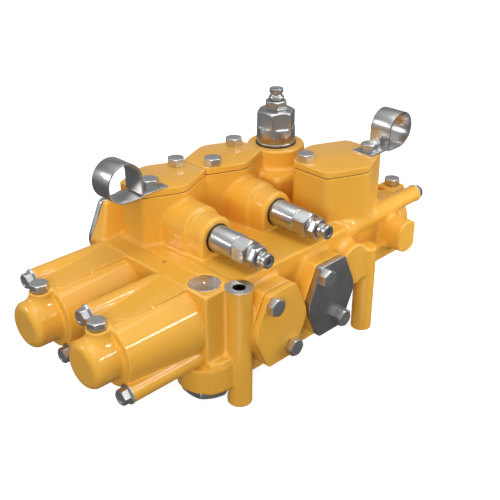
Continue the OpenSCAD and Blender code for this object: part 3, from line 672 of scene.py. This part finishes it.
def cover_field(cy):
    c = Field()
    c.add(cone("x", 44, 42.5, 199, 208, (cy, 104), 1.5), 0)
    c.add(cyl("x", 26, 204, 244, (cy, 104), 7.0), 4.0)
    c.add(cyl("x", 11, 199, 242, (cy - 30, 141), 0.8), 3.0)
    c.add(cyl("x", 11, 199, 242, (cy + 30, 69.5), 0.8), 3.0)
    c.add(box((199, cy - 30, 128), (237, cy, 146), 2.0), 4.0)
    c.add(box((218, cy - 13, 104), (245, cy + 14, 148), 2.5), 3.0)
    c.sub(cyl("x", 17, 190, 236, (cy, 104), 0.0), 0.3)
    return c


fields = {
    "casting": (body_field(), 2.0, ["valve_body"]),
    "front_cap_casting": (cap_field(FRONT_Y), 1.6, ["front_spool_cap"]),
    "rear_cap_casting": (cap_field(REAR_Y), 1.6, ["rear_spool_cap"]),
    "front_cover_casting": (cover_field(FRONT_Y), 1.7, ["front_end_cover"]),
    "rear_cover_casting": (cover_field(REAR_Y), 1.7, ["rear_end_cover"]),
}
castings = []
for name, (fld, step, nodes) in fields.items():
    piece = skin(name, fld, step * (1.0))
    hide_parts(*nodes)
    castings.append(piece)
    print("skin", name, len(piece.data.polygons))

# ---------------------------------------------------------------- plates, gaskets
GASKET, PLATE, FACE_Y, REAR_FACE = 0.8, 8.0, -109.0, 117.0
small = lens_outline("small")
large = lens_outline("large")
upright_outline = lens_outline("side")
plates = {}


def plate_on_top(name, at, outline, node):
    p = Piece()
    prism(p, outline, TOP + GASKET, TOP + GASKET + PLATE, 0.9, Matrix.Translation(Vector((at[0], at[1], 0))))
    obj = p.make(name, "housing", angle=50)
    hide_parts(node)
    plates[name] = obj


plate_on_top("left_port_cover", COV1, small, "left_top_cover")
plate_on_top("middle_port_cover", COV2, small, "middle_top_cover")
plate_on_top("right_port_cover", COV3, large, "right_top_cover")


def upright(at, y, flip):
    """Matrix for a plate that lies on a face across Y: long axis on Z, thickness outwards."""
    if flip:  # outwards is +Y
        rot = Matrix(((0, 1, 0, 0), (0, 0, 1, 0), (1, 0, 0, 0), (0, 0, 0, 1)))
    else:
        rot = Matrix(((0, -1, 0, 0), (0, 0, -1, 0), (1, 0, 0, 0), (0, 0, 0, 1)))
    return Matrix.Translation(Vector((at[0], y, at[1]))) @ rot


def side_piece(name, at, y, flip, node, bevel):
    p = Piece()
    prism(p, upright_outline, GASKET, GASKET + PLATE, bevel, upright(at, y, flip))
    obj = p.make(name, "housing", angle=50)
    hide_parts(node)
    plates[name] = obj


side_piece("left_side_cover", SIDE1, FACE_Y, False, "side_cover", 0.9)
side_piece("bare_side_plate", SIDE2, FACE_Y, False, "side_plate", 1.0)
side_piece("bare_rear_plate", REAR1, REAR_FACE, True, "rear_plate", 1.0)

# ---------------------------------------------------------------- fasteners
P114, P112 = (33.35, 15.9), (39.7, 18.25)
ZT = TOP + GASKET + PLATE
CLIP_T = 1.9


def bolt_group(name, node, spots, af, h, shank):
    """spots: (axis, flip, foot point, twist)."""
    p = Piece()
    for axis, flip, foot, twist in spots:
        place = along(axis, foot, flip, twist)
        hex_head(p, place, af, h)
        if shank > 0:
            p.loft([circle_ring(5.2, -shank, 24), circle_ring(5.2, 0.01, 24)], place)
    obj = p.make(name, "housing", bevel=0.22, angle=28)
    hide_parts(node)
    return obj


top_spots = [
    ("z", False, (COV1[0] - P114[0], COV1[1] - P114[1], ZT + CLIP_T), 5),
    ("z", False, (COV1[0] + P114[0], COV1[1] + P114[1], ZT), 20),
    ("z", False, (COV2[0] - P114[0], COV2[1] - P114[1], ZT), 8),
    ("z", False, (COV2[0] + P114[0], COV2[1] + P114[1], ZT), 25),
    ("z", False, (COV3[0] - P112[0], COV3[1] + P112[1], ZT), 14),
    ("z", False, (COV3[0] + P112[0], COV3[1] - P112[1], ZT + CLIP_T), 27),
]
yf = FACE_Y - GASKET - PLATE + 0.05
side_spots = [
    ("y", True, (SIDE1[0] - P114[1], yf, SIDE1[1] + P114[0]), 8),
    ("y", True, (SIDE1[0] + P114[1], yf, SIDE1[1] - P114[0]), 20),
    ("y", True, (SIDE2[0] - P114[1], yf, SIDE2[1] + P114[0]), 0),
    ("y", True, (SIDE2[0] + P114[1], yf, SIDE2[1] - P114[0]), 12),
]
yr = REAR_FACE + GASKET + PLATE - 0.05
rear_spots = [
    ("y", False, (REAR1[0] - P114[1], yr, REAR1[1] - P114[0]), 8),
    ("y", False, (REAR1[0] + P114[1], yr, REAR1[1] + P114[0]), 18),
]
hardware = [
    bolt_group("cover_bolts", "top_cover_bolts", top_spots, 19.5, 9.5, 24),
    bolt_group("side_plate_bolts", "side_bolts", side_spots, 19.5, 9.5, 24),
    bolt_group("rear_plate_bolts", "rear_bolts", rear_spots, 19.5, 9.5, 24),
]


def flange_bolts(name, node, spots, shank):
    p = Piece()
    n = 72
    for axis, flip, foot, twist in spots:
        place = along(axis, foot, flip, twist)
        rings = [circle_ring(11.4, 0, n), circle_ring(11.6, 0.5, n), circle_ring(11.6, 1.0, n), circle_ring(10.6, 2.0, n),
                 hex_ring(16, 2.8, n, cap=8.6, slope=-0.1), hex_ring(16, 10.6, n, cap=7.8),
                 circle_ring(7.5, 10.8, n), circle_ring(5.6, 10.8, n), circle_ring(5.2, 10.3, n), circle_ring(0.02, 10.3, n)]
        p.loft(rings, place)
        p.loft([circle_ring(4.8, -shank, 24), circle_ring(4.8, 0.01, 24)], place)
    obj = p.make(name, "housing", bevel=0.2, angle=28)
    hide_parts(node)
    return obj


cap_spots = [("x", True, (-247.5, cy + dy, SPOOL_Z + dz), 10) for cy in (FRONT_Y, REAR_Y) for dy, dz in ((30, 35), (-30, -34.5))]
end_spots = [("x", False, (241.95, cy + dy, SPOOL_Z + dz), 20) for cy in (FRONT_Y, REAR_Y) for dy, dz in ((-30, 37), (30, -34.5))]
hardware.append(flange_bolts("cap_flange_bolts", "cap_bolts", cap_spots, 112))
hardware.append(flange_bolts("end_flange_bolts", "end_cover_bolts", end_spots, 60))


def hex_plugs(name, node, spots):
    p = Piece()
    for foot, twist in spots:
        place = along("z", foot, False, twist)
        hex_head(p, place, 19, 8.4, cap=0.96)
        p.loft([circle_ring(6.95, -16, 32), circle_ring(6.95, 0.01, 32)], place)
    obj = p.make(name, "housing", bevel=0.22, angle=28)
    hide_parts(node)
    return obj


hardware.append(hex_plugs("cap_hex_plugs", "cap_plugs", [((-257, cy, 141.6), 12) for cy in (FRONT_Y, REAR_Y)]))
hardware.append(hex_plugs("end_hex_plugs", "end_cover_plugs", [((233, cy, 149.2), 12) for cy in (FRONT_Y, REAR_Y)]))

# ---------------------------------------------------------------- bottom plug, deck disc, post seat
p = Piece()
place = along("z", (PLUG[0], PLUG[1], 26), True, -2)
p.loft([hex_ring(51, 0, 96), hex_ring(51, 11.8, 96, cap=24.8), circle_ring(24.5, 12, 96), circle_ring(15, 12, 96), circle_ring(14.6, 11.2, 96),
        circle_ring(0.05, 11.2, 96)], place)
p.loft([circle_ring(9.1, 19, 64), circle_ring(9.1, 42, 64), circle_ring(19.9, 42, 64), circle_ring(19.9, 25, 64), circle_ring(9.05, 25, 64)],
       Matrix.Translation(Vector((PLUG[0], PLUG[1], 0))), close=True)
bottom_plug = p.make("large_hex_plug", "housing", bevel=0.4, angle=28)
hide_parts("bottom_plug")

p = Piece()
place = Matrix.Translation(Vector((-132, -64, 0)))
p.loft([circle_ring(9.9, 130, 96), circle_ring(9.9, 141.6, 96), circle_ring(17.45, 141.6, 96), circle_ring(17.45, 150.1, 96), circle_ring(17.1, 150.4, 96),
        circle_ring(9, 150.4, 96), circle_ring(1.7, 150.4, 96), circle_ring(0.05, 149.2, 96)], place)
disc = p.make("deck_disc", "housing", angle=28)
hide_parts("deck_plug")

p = Piece()
p.loft([circle_ring(7.2, 140.0, 96), circle_ring(7.2, 149.4, 96), circle_ring(7.8, 149.95, 96), circle_ring(15.5, 149.95, 96), circle_ring(15.8, 149.7, 96),
        circle_ring(15.8, 149.2, 96), circle_ring(9.0, 149.2, 96), circle_ring(9.0, 140.0, 96)], Matrix.Translation(Vector((-111, -96, 0))), close=True)
seat = p.make("post_seat", "housing", angle=28)

# painted shade: near-black sleeves inside the front left post hole and the small deck hole, standing in for the shade
# down the bores
p = Piece()
p.loft([circle_ring(6.4, 128.0, 64), circle_ring(6.4, 148.6, 64), circle_ring(6.9, 149.5, 64), circle_ring(7.18, 149.5, 64), circle_ring(7.18, 128.0, 64)],
       Matrix.Translation(Vector((-111, -96, 0))), close=True)
p.loft([circle_ring(0.05, 146.0, 32), circle_ring(1.2, 146.0, 32), circle_ring(1.35, 150.06, 32), circle_ring(1.75, 150.06, 32), circle_ring(1.75, 145.0, 32),
        circle_ring(0.05, 145.0, 32)], Matrix.Translation(Vector((-131.6, 3.8, 0))))
bore_shade_sleeve = p.make("bore_shade_sleeves", "housing", angle=28)


# ---------------------------------------------------------------- relief cartridges
def lathe(p, prof, place, n=72, slot=0):
    """Closed hollow section: (radius, height) pairs round the section, hex pairs as ('h', size, height)."""
    rings = []
    for item in prof:
        if item[0] == "h":
            rings.append(hex_ring(item[1], item[2], n, cap=item[3] if len(item) > 3 else None))
        else:
            rings.append(circle_ring(item[0], item[1], n))
    p.loft(rings, place, close=True, slot=slot)


def line_relief(side, x):
    # heights run outwards along -Y from the seat end
    place = along("y", (x, 0, LR_Z), True, 0)
    p = Piece()
    lathe(p, [(6.1, 17.4), (6.1, -12), (4.0, -12.2), (4.0, -21.5), (15.7, -21.5), (16.0, -21.2), (16.0, 61.0), (15.8, 61.4), ("h", 28.3, 62.4),
              ("h", 28.3, 80.1, 13.9), (13.5, 80.45), (11.2, 80.5), (11.2, 84.5), (5.7, 84.5), (5.7, 71.5), (7.5, 71.3), (7.5, 17.6)], place)
    a = p.make(side + "_cartridge", "housing", bevel=0.25, angle=28)
    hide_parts(side + "_relief_body")
    p = Piece()
    nut = along("y", (x, 0, LR_Z), True, 30)
    lathe(p, [(5.65, 84.7), (11.3, 84.7), ("h", 23.4, 85.2, 12.0), ("h", 23.4, 92.9, 11.4), (10.9, 93.4), (6.6, 93.5), (5.65, 92.9)], nut)
    b = p.make(side + "_cartridge_nut", side + "_locknut", bevel=0.25, angle=28)
    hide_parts(side + "_relief_locknut")
    p = Piece()
    rings = [circle_ring(0.05, 62), circle_ring(5.2, 62), circle_ring(5.55, 62.4), circle_ring(5.55, 93.6), circle_ring(6.8, 93.9), circle_ring(8.6, 94.3),
             circle_ring(8.6, 99.4), circle_ring(8.0, 99.8), circle_ring(8.0, 100.5), circle_ring(8.6, 100.9), circle_ring(8.6, 105.4),
             circle_ring(7.9, 106.3), circle_ring(5.6, 106.4), hex_ring(8, 105.9), hex_ring(8, 100.6), circle_ring(0.05, 100.2)]
    p.loft(rings, place)
    c = p.make(side + "_cartridge_screw", side + "_screw", bevel=0.18, angle=28)
    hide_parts(side + "_relief_screw")
    return [a, b, c]


cartridges = line_relief("left", COV1[0]) + line_relief("right", COV2[0])

base = along("z", (MAIN[0], MAIN[1], 0), False, 1)
p = Piece()
lathe(p, [(8.1, 199), (8.1, 174.2), (5.0, 174.0), (5.0, 162), (14.7, 162), (15, 162.4), (15, 196.2), (24.6, 196.2), (25, 196.6), (25, 218.2), (24.4, 218.6),
          (24.4, 219.6), (25, 220.0), (25, 237.2), (24.8, 237.7), ("h", 44.5, 239.3), ("h", 44.5, 259.5, 21.7), (21.2, 260.0), (12.0, 260.0), (12.0, 261.0),
          (7.2, 261.0), (7.2, 246.2), (10, 246), (10, 199.2)], base, n=96)
main_body = p.make("main_cartridge", "housing", bevel=0.3, angle=28)
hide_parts("main_relief_body")
p = Piece()
nut = along("z", (MAIN[0], MAIN[1], 0), False, 20)
lathe(p, [(7.2, 261.1), (12.3, 261.1), ("h", 25.5, 261.6, 13.0), ("h", 25.5, 271.6, 12.3), (11.9, 272.1), (8.2, 272.1), (7.2, 271.3)], nut)
main_nut = p.make("main_cartridge_nut", "main_locknut", bevel=0.3, angle=28)
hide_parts("main_relief_locknut")
p = Piece()
rings = [circle_ring(0.05, 240), circle_ring(6.7, 240), circle_ring(7.05, 240.4), circle_ring(7.05, 272.2), circle_ring(8.4, 272.4), circle_ring(9.4, 273.4),
         circle_ring(10.1, 275.0), circle_ring(10.1, 276.0), circle_ring(9.3, 277.6), circle_ring(7.9, 278.9), circle_ring(7.4, 280.0), circle_ring(7.4, 281.0),
         circle_ring(8.2, 281.8), circle_ring(9.0, 282.4), circle_ring(9.0, 286.6), circle_ring(8.4, 287.45), circle_ring(5.6, 287.55), hex_ring(8, 287.05),
         hex_ring(8, 281.5), circle_ring(0.05, 281.1)]
p.loft(rings, base)
main_screw = p.make("main_cartridge_stem", "main_screw", bevel=0.2, angle=28)
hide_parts("main_relief_screw")
for o in (main_body, main_nut, main_screw):
    cartridges.append(o)


# ---------------------------------------------------------------- hose clips
def clip(name, node, x, y, s):
    """A bent strip: tab under the bolt, loop, and a leg that comes back down to the tab."""
    t, r, reach, w, dip = 1.9, 23.4, 43.5, 30.0, 2.1
    path = [(15.0, 0.95), (8.0, 0.95), (0.0, 0.95), (-12.0, 0.95), (-16.5, 0.93), (-19.0, 0.45), (-22.0, -0.7), (-25.0, -1.15), (-31.0, -1.15), (-38.0, -1.15)]
    rm = r - t / 2
    cx, cz = -reach, r - dip
    for a in np.linspace(-90, -360, 61):
        path.append((cx + rm * math.cos(math.radians(a)), cz + rm * math.sin(math.radians(a))))
    for z in (16.0, 10.0, 5.0, t + 0.3):
        path.append((cx + rm, z))
    pts = np.array(path)
    tan = np.gradient(pts, axis=0)
    tan /= np.linalg.norm(tan, axis=1)[:, None]
    nor = np.stack([-tan[:, 1], tan[:, 0]], axis=1)
    e = 0.35
    prof = []
    for sy, sn in ((1, 1), (1, -1), (-1, -1), (-1, 1)):
        for i in range(4):
            a = math.pi / 2 * i / 3
            cyy, cnn = (w / 2 - e), (t / 2 - e)
            ang = {(1, 1): math.pi / 2 - a, (1, -1): -a, (-1, -1): -math.pi / 2 - a, (-1, 1): math.pi - a}[(sy, sn)]
            prof.append((sy * cyy + e * math.cos(ang), sn * cnn + e * math.sin(ang)))
    rings = []
    for (px, pz), (nx, nz) in zip(pts, nor):
        rings.append(np.array([(px + nx * b, a, pz + nz * b) for a, b in prof]))
    piece = Piece()
    mirror = Matrix.Diagonal(Vector((s, 1, 1, 1)))
    piece.loft(rings, Matrix.Translation(Vector((x, y, ZT))) @ mirror)
    obj = piece.make(name, "housing", angle=40)
    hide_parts(node)
    return obj


clips = [
    clip("left_pipe_clip", "left_hose_clip", COV1[0] - P114[0], COV1[1] - P114[1], 1),
    clip("right_pipe_clip", "right_hose_clip", COV3[0] + P112[0], COV3[1] - P112[1], -1),
]


# ---------------------------------------------------------------- coil springs
def coil(node, place, rm, w, length, turns):
    """A wound spring with closed ends. It stands on the housing; it is baked in place and attached to no body."""
    lead = 2.1 * w
    pitch = (length - 2 * w - 2 * lead) / (turns - 2)
    rings = []
    steps = int(turns * 20)
    for i in range(steps + 1):
        t = turns * i / steps
        if t < 1:
            z = w + lead * t
        elif t < turns - 1:
            z = w + lead + pitch * (t - 1)
        else:
            z = w + lead + pitch * (turns - 2) + lead * (t - turns + 1)
        c, q = math.cos(2 * math.pi * t), math.sin(2 * math.pi * t)
        ring = []
        for j in range(10):
            u = 2 * math.pi * j / 10
            ring.append(((rm + w * math.cos(u)) * c, (rm + w * math.cos(u)) * q, z - w * math.sin(u)))
        rings.append(np.array(ring))
    piece = Piece()
    piece.loft(rings, place)
    obj = piece.make(node + "_coil", None, angle=60)
    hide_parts(node)
    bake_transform(obj)
    return obj


coils = []
for side, cy in (("front", FRONT_Y), ("rear", REAR_Y)):
    coils.append(coil(side + "_cap_spring", along("x", (-236, cy, SPOOL_Z)), 19, 2.4, 63.9, 9))
    coils.append(coil(side + "_end_spring", along("x", (235.9, cy, SPOOL_Z), True), 8, 1.4, 45.8, 10))
for side, x in (("left", COV1[0]), ("right", COV2[0])):
    coils.append(coil(side + "_relief_spring", along("y", (x, -61.9, LR_Z)), 5.4, 1.1, 43.8, 11))
coils.append(coil("main_relief_spring", along("z", (MAIN[0], MAIN[1], 239.9), True), 7.8, 1.4, 35.8, 9))
coils.append(coil("check_spring", along("z", (PLUG[0], PLUG[1], 19.1)), 6.6, 0.8, 13.8, 4.5))


# ---------------------------------------------------------------- materials
def new_material(name):
    m = bpy.data.materials.new(name)
    m.use_nodes = True
    nt = m.node_tree
    nt.nodes.clear()
    out = nt.nodes.new("ShaderNodeOutputMaterial")
    bsdf = nt.nodes.new("ShaderNodeBsdfPrincipled")
    nt.links.new(bsdf.outputs["BSDF"], out.inputs["Surface"])
    return m, nt, bsdf


def noise(nt, scale, detail=3.0, rough=0.55, stretch=None):
    tc = nt.nodes.new("ShaderNodeTexCoord")
    mp = nt.nodes.new("ShaderNodeMapping")
    if stretch is not None:
        mp.inputs["Scale"].default_value = stretch
    nz = nt.nodes.new("ShaderNodeTexNoise")
    nz.inputs["Scale"].default_value = scale
    nz.inputs["Detail"].default_value = detail
    nz.inputs["Roughness"].default_value = rough
    nt.links.new(tc.outputs["Object"], mp.inputs["Vector"])
    nt.links.new(mp.outputs["Vector"], nz.inputs["Vector"])
    return nz


def ramp(nt, source, stops):
    r = nt.nodes.new("ShaderNodeValToRGB")
    els = r.color_ramp.elements
    while len(els) > 1:
        els.remove(els[-1])
    els[0].position = stops[0][0]
    els[0].color = stops[0][1]
    for pos, col in stops[1:]:
        el = els.new(pos)
        el.color = col
    nt.links.new(source, r.inputs["Fac"])
    return r


def bump(nt, bsdf, height, strength, distance):
    b = nt.nodes.new("ShaderNodeBump")
    b.inputs["Strength"].default_value = strength
    b.inputs["Distance"].default_value = distance
    nt.links.new(height, b.inputs["Height"])
    nt.links.new(b.outputs["Normal"], bsdf.inputs["Normal"])
    return b


def grey(v, a=1.0):
    return (v, v, v, a)


def paint_material():
    m, nt, s = new_material("casting_enamel")
    big = noise(nt, 9.0, 2.0)
    col = ramp(nt, big.outputs["Fac"], [(0.3, (0.81, 0.402, 0.044, 1)), (0.7, (0.87, 0.447, 0.054, 1))])
    # painted highlight: the base colour is lightened to a pale yellow on convex rims and in concave fillets, picked out
    # by pointiness, where highlights fall
    geo = nt.nodes.new("ShaderNodeNewGeometry")
    edge = ramp(nt, geo.outputs["Pointiness"], [(0.42, grey(1.0)), (0.475, grey(0.0)), (0.525, grey(0.0)), (0.58, grey(1.0))])
    painted_rim_highlight = nt.nodes.new("ShaderNodeMix")
    painted_rim_highlight.data_type = "RGBA"
    nt.links.new(edge.outputs["Color"], painted_rim_highlight.inputs["Factor"])
    nt.links.new(col.outputs["Color"], painted_rim_highlight.inputs["A"])
    # pale yellow of the painted highlight on rims and fillets
    painted_rim_highlight.inputs["B"].default_value = (1.0, 0.58, 0.11, 1)
    nt.links.new(painted_rim_highlight.outputs["Result"], s.inputs["Base Color"])
    s.inputs["Metallic"].default_value = 0.0
    s.inputs["IOR"].default_value = 1.5
    s.inputs["Specular IOR Level"].default_value = 0.25
    s.inputs["Coat Weight"].default_value = 0.6
    s.inputs["Coat Roughness"].default_value = 0.05
    ro = noise(nt, 40.0, 3.0)
    rr = ramp(nt, ro.outputs["Fac"], [(0.3, grey(0.40)), (0.7, grey(0.50))])
    nt.links.new(rr.outputs["Color"], s.inputs["Roughness"])
    fine = noise(nt, 160.0, 4.0, 0.5)
    bump(nt, s, fine.outputs["Fac"], 0.03, 0.0004)
    return m


def metal_material(name, lo, hi, r_lo, r_hi, scale=120.0, stretch=None, strength=0.06, dist=0.0002, tint=(1, 1, 1), turned=0.0):
    m, nt, s = new_material(name)
    nz = noise(nt, scale, 4.0, 0.6, stretch)
    col = ramp(nt, nz.outputs["Fac"], [(0.3, (lo * tint[0], lo * tint[1], lo * tint[2], 1)), (0.7, (hi * tint[0], hi * tint[1], hi * tint[2], 1))])
    nt.links.new(col.outputs["Color"], s.inputs["Base Color"])
    s.inputs["Metallic"].default_value = 1.0
    rr = ramp(nt, nz.outputs["Fac"], [(0.3, grey(r_lo)), (0.7, grey(r_hi))])
    nt.links.new(rr.outputs["Color"], s.inputs["Roughness"])
    bump(nt, s, nz.outputs["Fac"], strength, dist)
    if turned > 0:
        tangent = nt.nodes.new("ShaderNodeTangent")
        tangent.direction_type = "RADIAL"
        tangent.axis = "Z"
        s.inputs["Anisotropic"].default_value = turned
        nt.links.new(tangent.outputs["Tangent"], s.inputs["Tangent"])
    return m


paint = paint_material()
plated = metal_material("zinc_plate", 0.64, 0.70, 0.34, 0.40, 40.0, None, 0.006, 0.00003)
bright = metal_material("bright_steel", 0.50, 0.55, 0.30, 0.36, 40.0, None, 0.002, 0.00002)
strip = metal_material("rolled_strip", 0.52, 0.58, 0.27, 0.32, 30.0, (1.0, 18.0, 1.0), 0.002, 0.00001)
dark_steel = metal_material("oiled_dark_steel", 0.47, 0.55, 0.30, 0.40, 40.0, None, 0.02, 0.0001)
turned = metal_material("turned_face", 0.62, 0.66, 0.26, 0.30, 30.0, None, 0.001, 0.00001, (1.0, 0.96, 0.90), 0.75)
# painted shade: near-black metal for the sleeves that darken the bores
painted_bore_shade = metal_material("unlit_bore", 0.03, 0.05, 0.55, 0.65, 60.0, None, 0.02, 0.0001)
ground = metal_material("ground_bar", 0.55, 0.62, 0.15, 0.25, 150.0, (22.0, 1.0, 1.0))
wire = metal_material("spring_wire", 0.30, 0.38, 0.30, 0.42, 150.0)


def rubber_material(name, v, r):
    m, nt, s = new_material(name)
    nz = noise(nt, 220.0, 3.0)
    col = ramp(nt, nz.outputs["Fac"], [(0.3, grey(v)), (0.7, grey(v * 1.5))])
    nt.links.new(col.outputs["Color"], s.inputs["Base Color"])
    s.inputs["Roughness"].default_value = r
    bump(nt, s, nz.outputs["Fac"], 0.1, 0.0002)
    return m


rubber = rubber_material("nitrile_rubber", 0.012, 0.55)
gasket = rubber_material("gasket_sheet", 0.030, 0.75)


def give(obj, mat):
    obj.data.materials.clear()
    obj.data.materials.append(mat)
    obj.data.polygons.foreach_set("material_index", np.zeros(len(obj.data.polygons), np.int32))
    obj.data.update()


for o in castings:
    give(o, paint)
for name, o in plates.items():
    give(o, dark_steel if name.startswith("bare") else paint)
for o in hardware:
    give(o, plated)
for o in cartridges:
    give(o, bright)
for o in clips:
    give(o, strip)
give(bottom_plug, dark_steel)
give(disc, turned)
give(seat, turned)
give(bore_shade_sleeve, painted_bore_shade)
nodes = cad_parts
for n in ("cap_seals", "end_cover_seals", "plug_seals", "bottom_plug_seal", "relief_seals"):
    give(nodes[n], rubber)
for n in ("top_cover_gaskets", "side_gaskets", "rear_gasket"):
    give(nodes[n], gasket)
for n in ("front_spool", "rear_spool", "front_spring_cup", "rear_spring_cup", "check_poppet", "left_relief_poppet",
          "right_relief_poppet", "main_relief_poppet"):
    give(nodes[n], ground)
for o in coils:
    give(o, wire)
for n in ("front_cup_bolt", "rear_cup_bolt"):
    give(nodes[n], plated)

# ---------------------------------------------------------------- stage and light
floor_mesh = bpy.data.meshes.new("floor")
rim = [(0.0, 0.0), (2.0, 0.0), (8.0, 0.0)] + [(8.0 + 5.0 * math.sin(math.radians(a)), 5.0 - 5.0 * math.cos(math.radians(a))) for a in range(10, 91, 10)] + [(13.0, 12.0)]
points = [(0.0, 0.0, -0.0005)]
faces = []
for k, (r, z) in enumerate(rim[1:]):
    for i in range(64):
        points.append((r * math.cos(math.tau * i / 64), r * math.sin(math.tau * i / 64), z - 0.0005))
    for i in range(64):
        j = (i + 1) % 64
        if k == 0:
            faces.append((0, 1 + i, 1 + j))
        else:
            inner, outer = 1 + 64 * (k - 1), 1 + 64 * k
            faces.append((inner + i, outer + i, outer + j, inner + j))
floor_mesh.from_pydata(points, [], faces)
floor = bpy.data.objects.new("floor", floor_mesh)
scene.collection.objects.link(floor)
fm, fnt, fs = new_material("pale_floor")
fs.inputs["Base Color"].default_value = (0.8, 0.8, 0.8, 1)
fs.inputs["Roughness"].default_value = 0.9
fs.inputs["Emission Color"].default_value = (1, 1, 1, 1)
fs.inputs["Emission Strength"].default_value = 0.75
floor_mesh.materials.append(fm)
floor.visible_glossy = False
floor.visible_diffuse = False
floor.visible_shadow = False

world = bpy.data.worlds.new("studio")
scene.world = world
world.use_nodes = True
wt = world.node_tree
wt.nodes.clear()
wout = wt.nodes.new("ShaderNodeOutputWorld")
wbg = wt.nodes.new("ShaderNodeBackground")
wtc = wt.nodes.new("ShaderNodeTexCoord")
wsep = wt.nodes.new("ShaderNodeSeparateXYZ")
wt.links.new(wtc.outputs["Generated"], wsep.inputs["Vector"])
wmap = wt.nodes.new("ShaderNodeMapRange")
wmap.inputs["From Min"].default_value = -1.0
wmap.inputs["From Max"].default_value = 1.0
wt.links.new(wsep.outputs["Z"], wmap.inputs["Value"])
wr = ramp(wt, wmap.outputs["Result"], [(0.0, grey(0.10)), (0.44, grey(0.16)), (0.50, grey(0.42)), (0.60, grey(0.38)), (0.68, grey(0.21)), (0.76, grey(0.21)), (0.85, grey(0.50)), (1.0, grey(0.85))])
wt.links.new(wr.outputs["Color"], wbg.inputs["Color"])
wbg.inputs["Strength"].default_value = 1.0
wt.links.new(wbg.outputs["Background"], wout.inputs["Surface"])

target = Vector((0.0, 0.0, 0.12))


def area(name, direction, distance, size, size_y, power, colour=(1, 1, 1), diffuse=True, gloss=True):
    d = Vector(direction).normalized()
    data = bpy.data.lights.new(name, "AREA")
    data.shape = "RECTANGLE"
    data.size = size
    data.size_y = size_y
    data.energy = power
    data.color = colour
    o = bpy.data.objects.new(name, data)
    o.location = target + d * distance
    o.rotation_mode = "QUATERNION"
    o.rotation_quaternion = (-d).to_track_quat("-Z", "Y")
    scene.collection.objects.link(o)
    o.visible_camera = False
    o.visible_diffuse = diffuse
    o.visible_glossy = gloss
    return o


# small bright strips that only draw highlights, and broad lights that only shade
area("key_strip", (0.40, -0.77, 0.49), 2.6, 1.2, 0.20, 20, diffuse=False)
area("top_strip", (0.45, -0.35, 0.82), 2.6, 0.6, 0.20, 10, diffuse=False)
area("side_strip", (-0.72, 0.55, 0.45), 2.6, 0.9, 0.20, 14, diffuse=False)
area("low_strip", (-0.62, -0.62, -0.47), 2.5, 1.4, 0.6, 4, diffuse=False)
area("overhead", (-0.10, -0.10, 1.0), 2.2, 1.5, 1.5, 16)
area("rear_fill", (0.60, 0.85, 0.25), 2.4, 1.2, 1.2, 12, gloss=False)
area("front_left", (-0.86, -0.62, 0.38), 2.4, 1.0, 1.0, 27, gloss=False)
area("front_right", (0.45, -0.45, 0.08), 0.65, 0.35, 0.35, 1.8, gloss=False)

scene.view_settings.view_transform = "Standard"
scene.view_settings.look = "None"
scene.view_settings.exposure = 0.0
scene.view_settings.gamma = 1.0
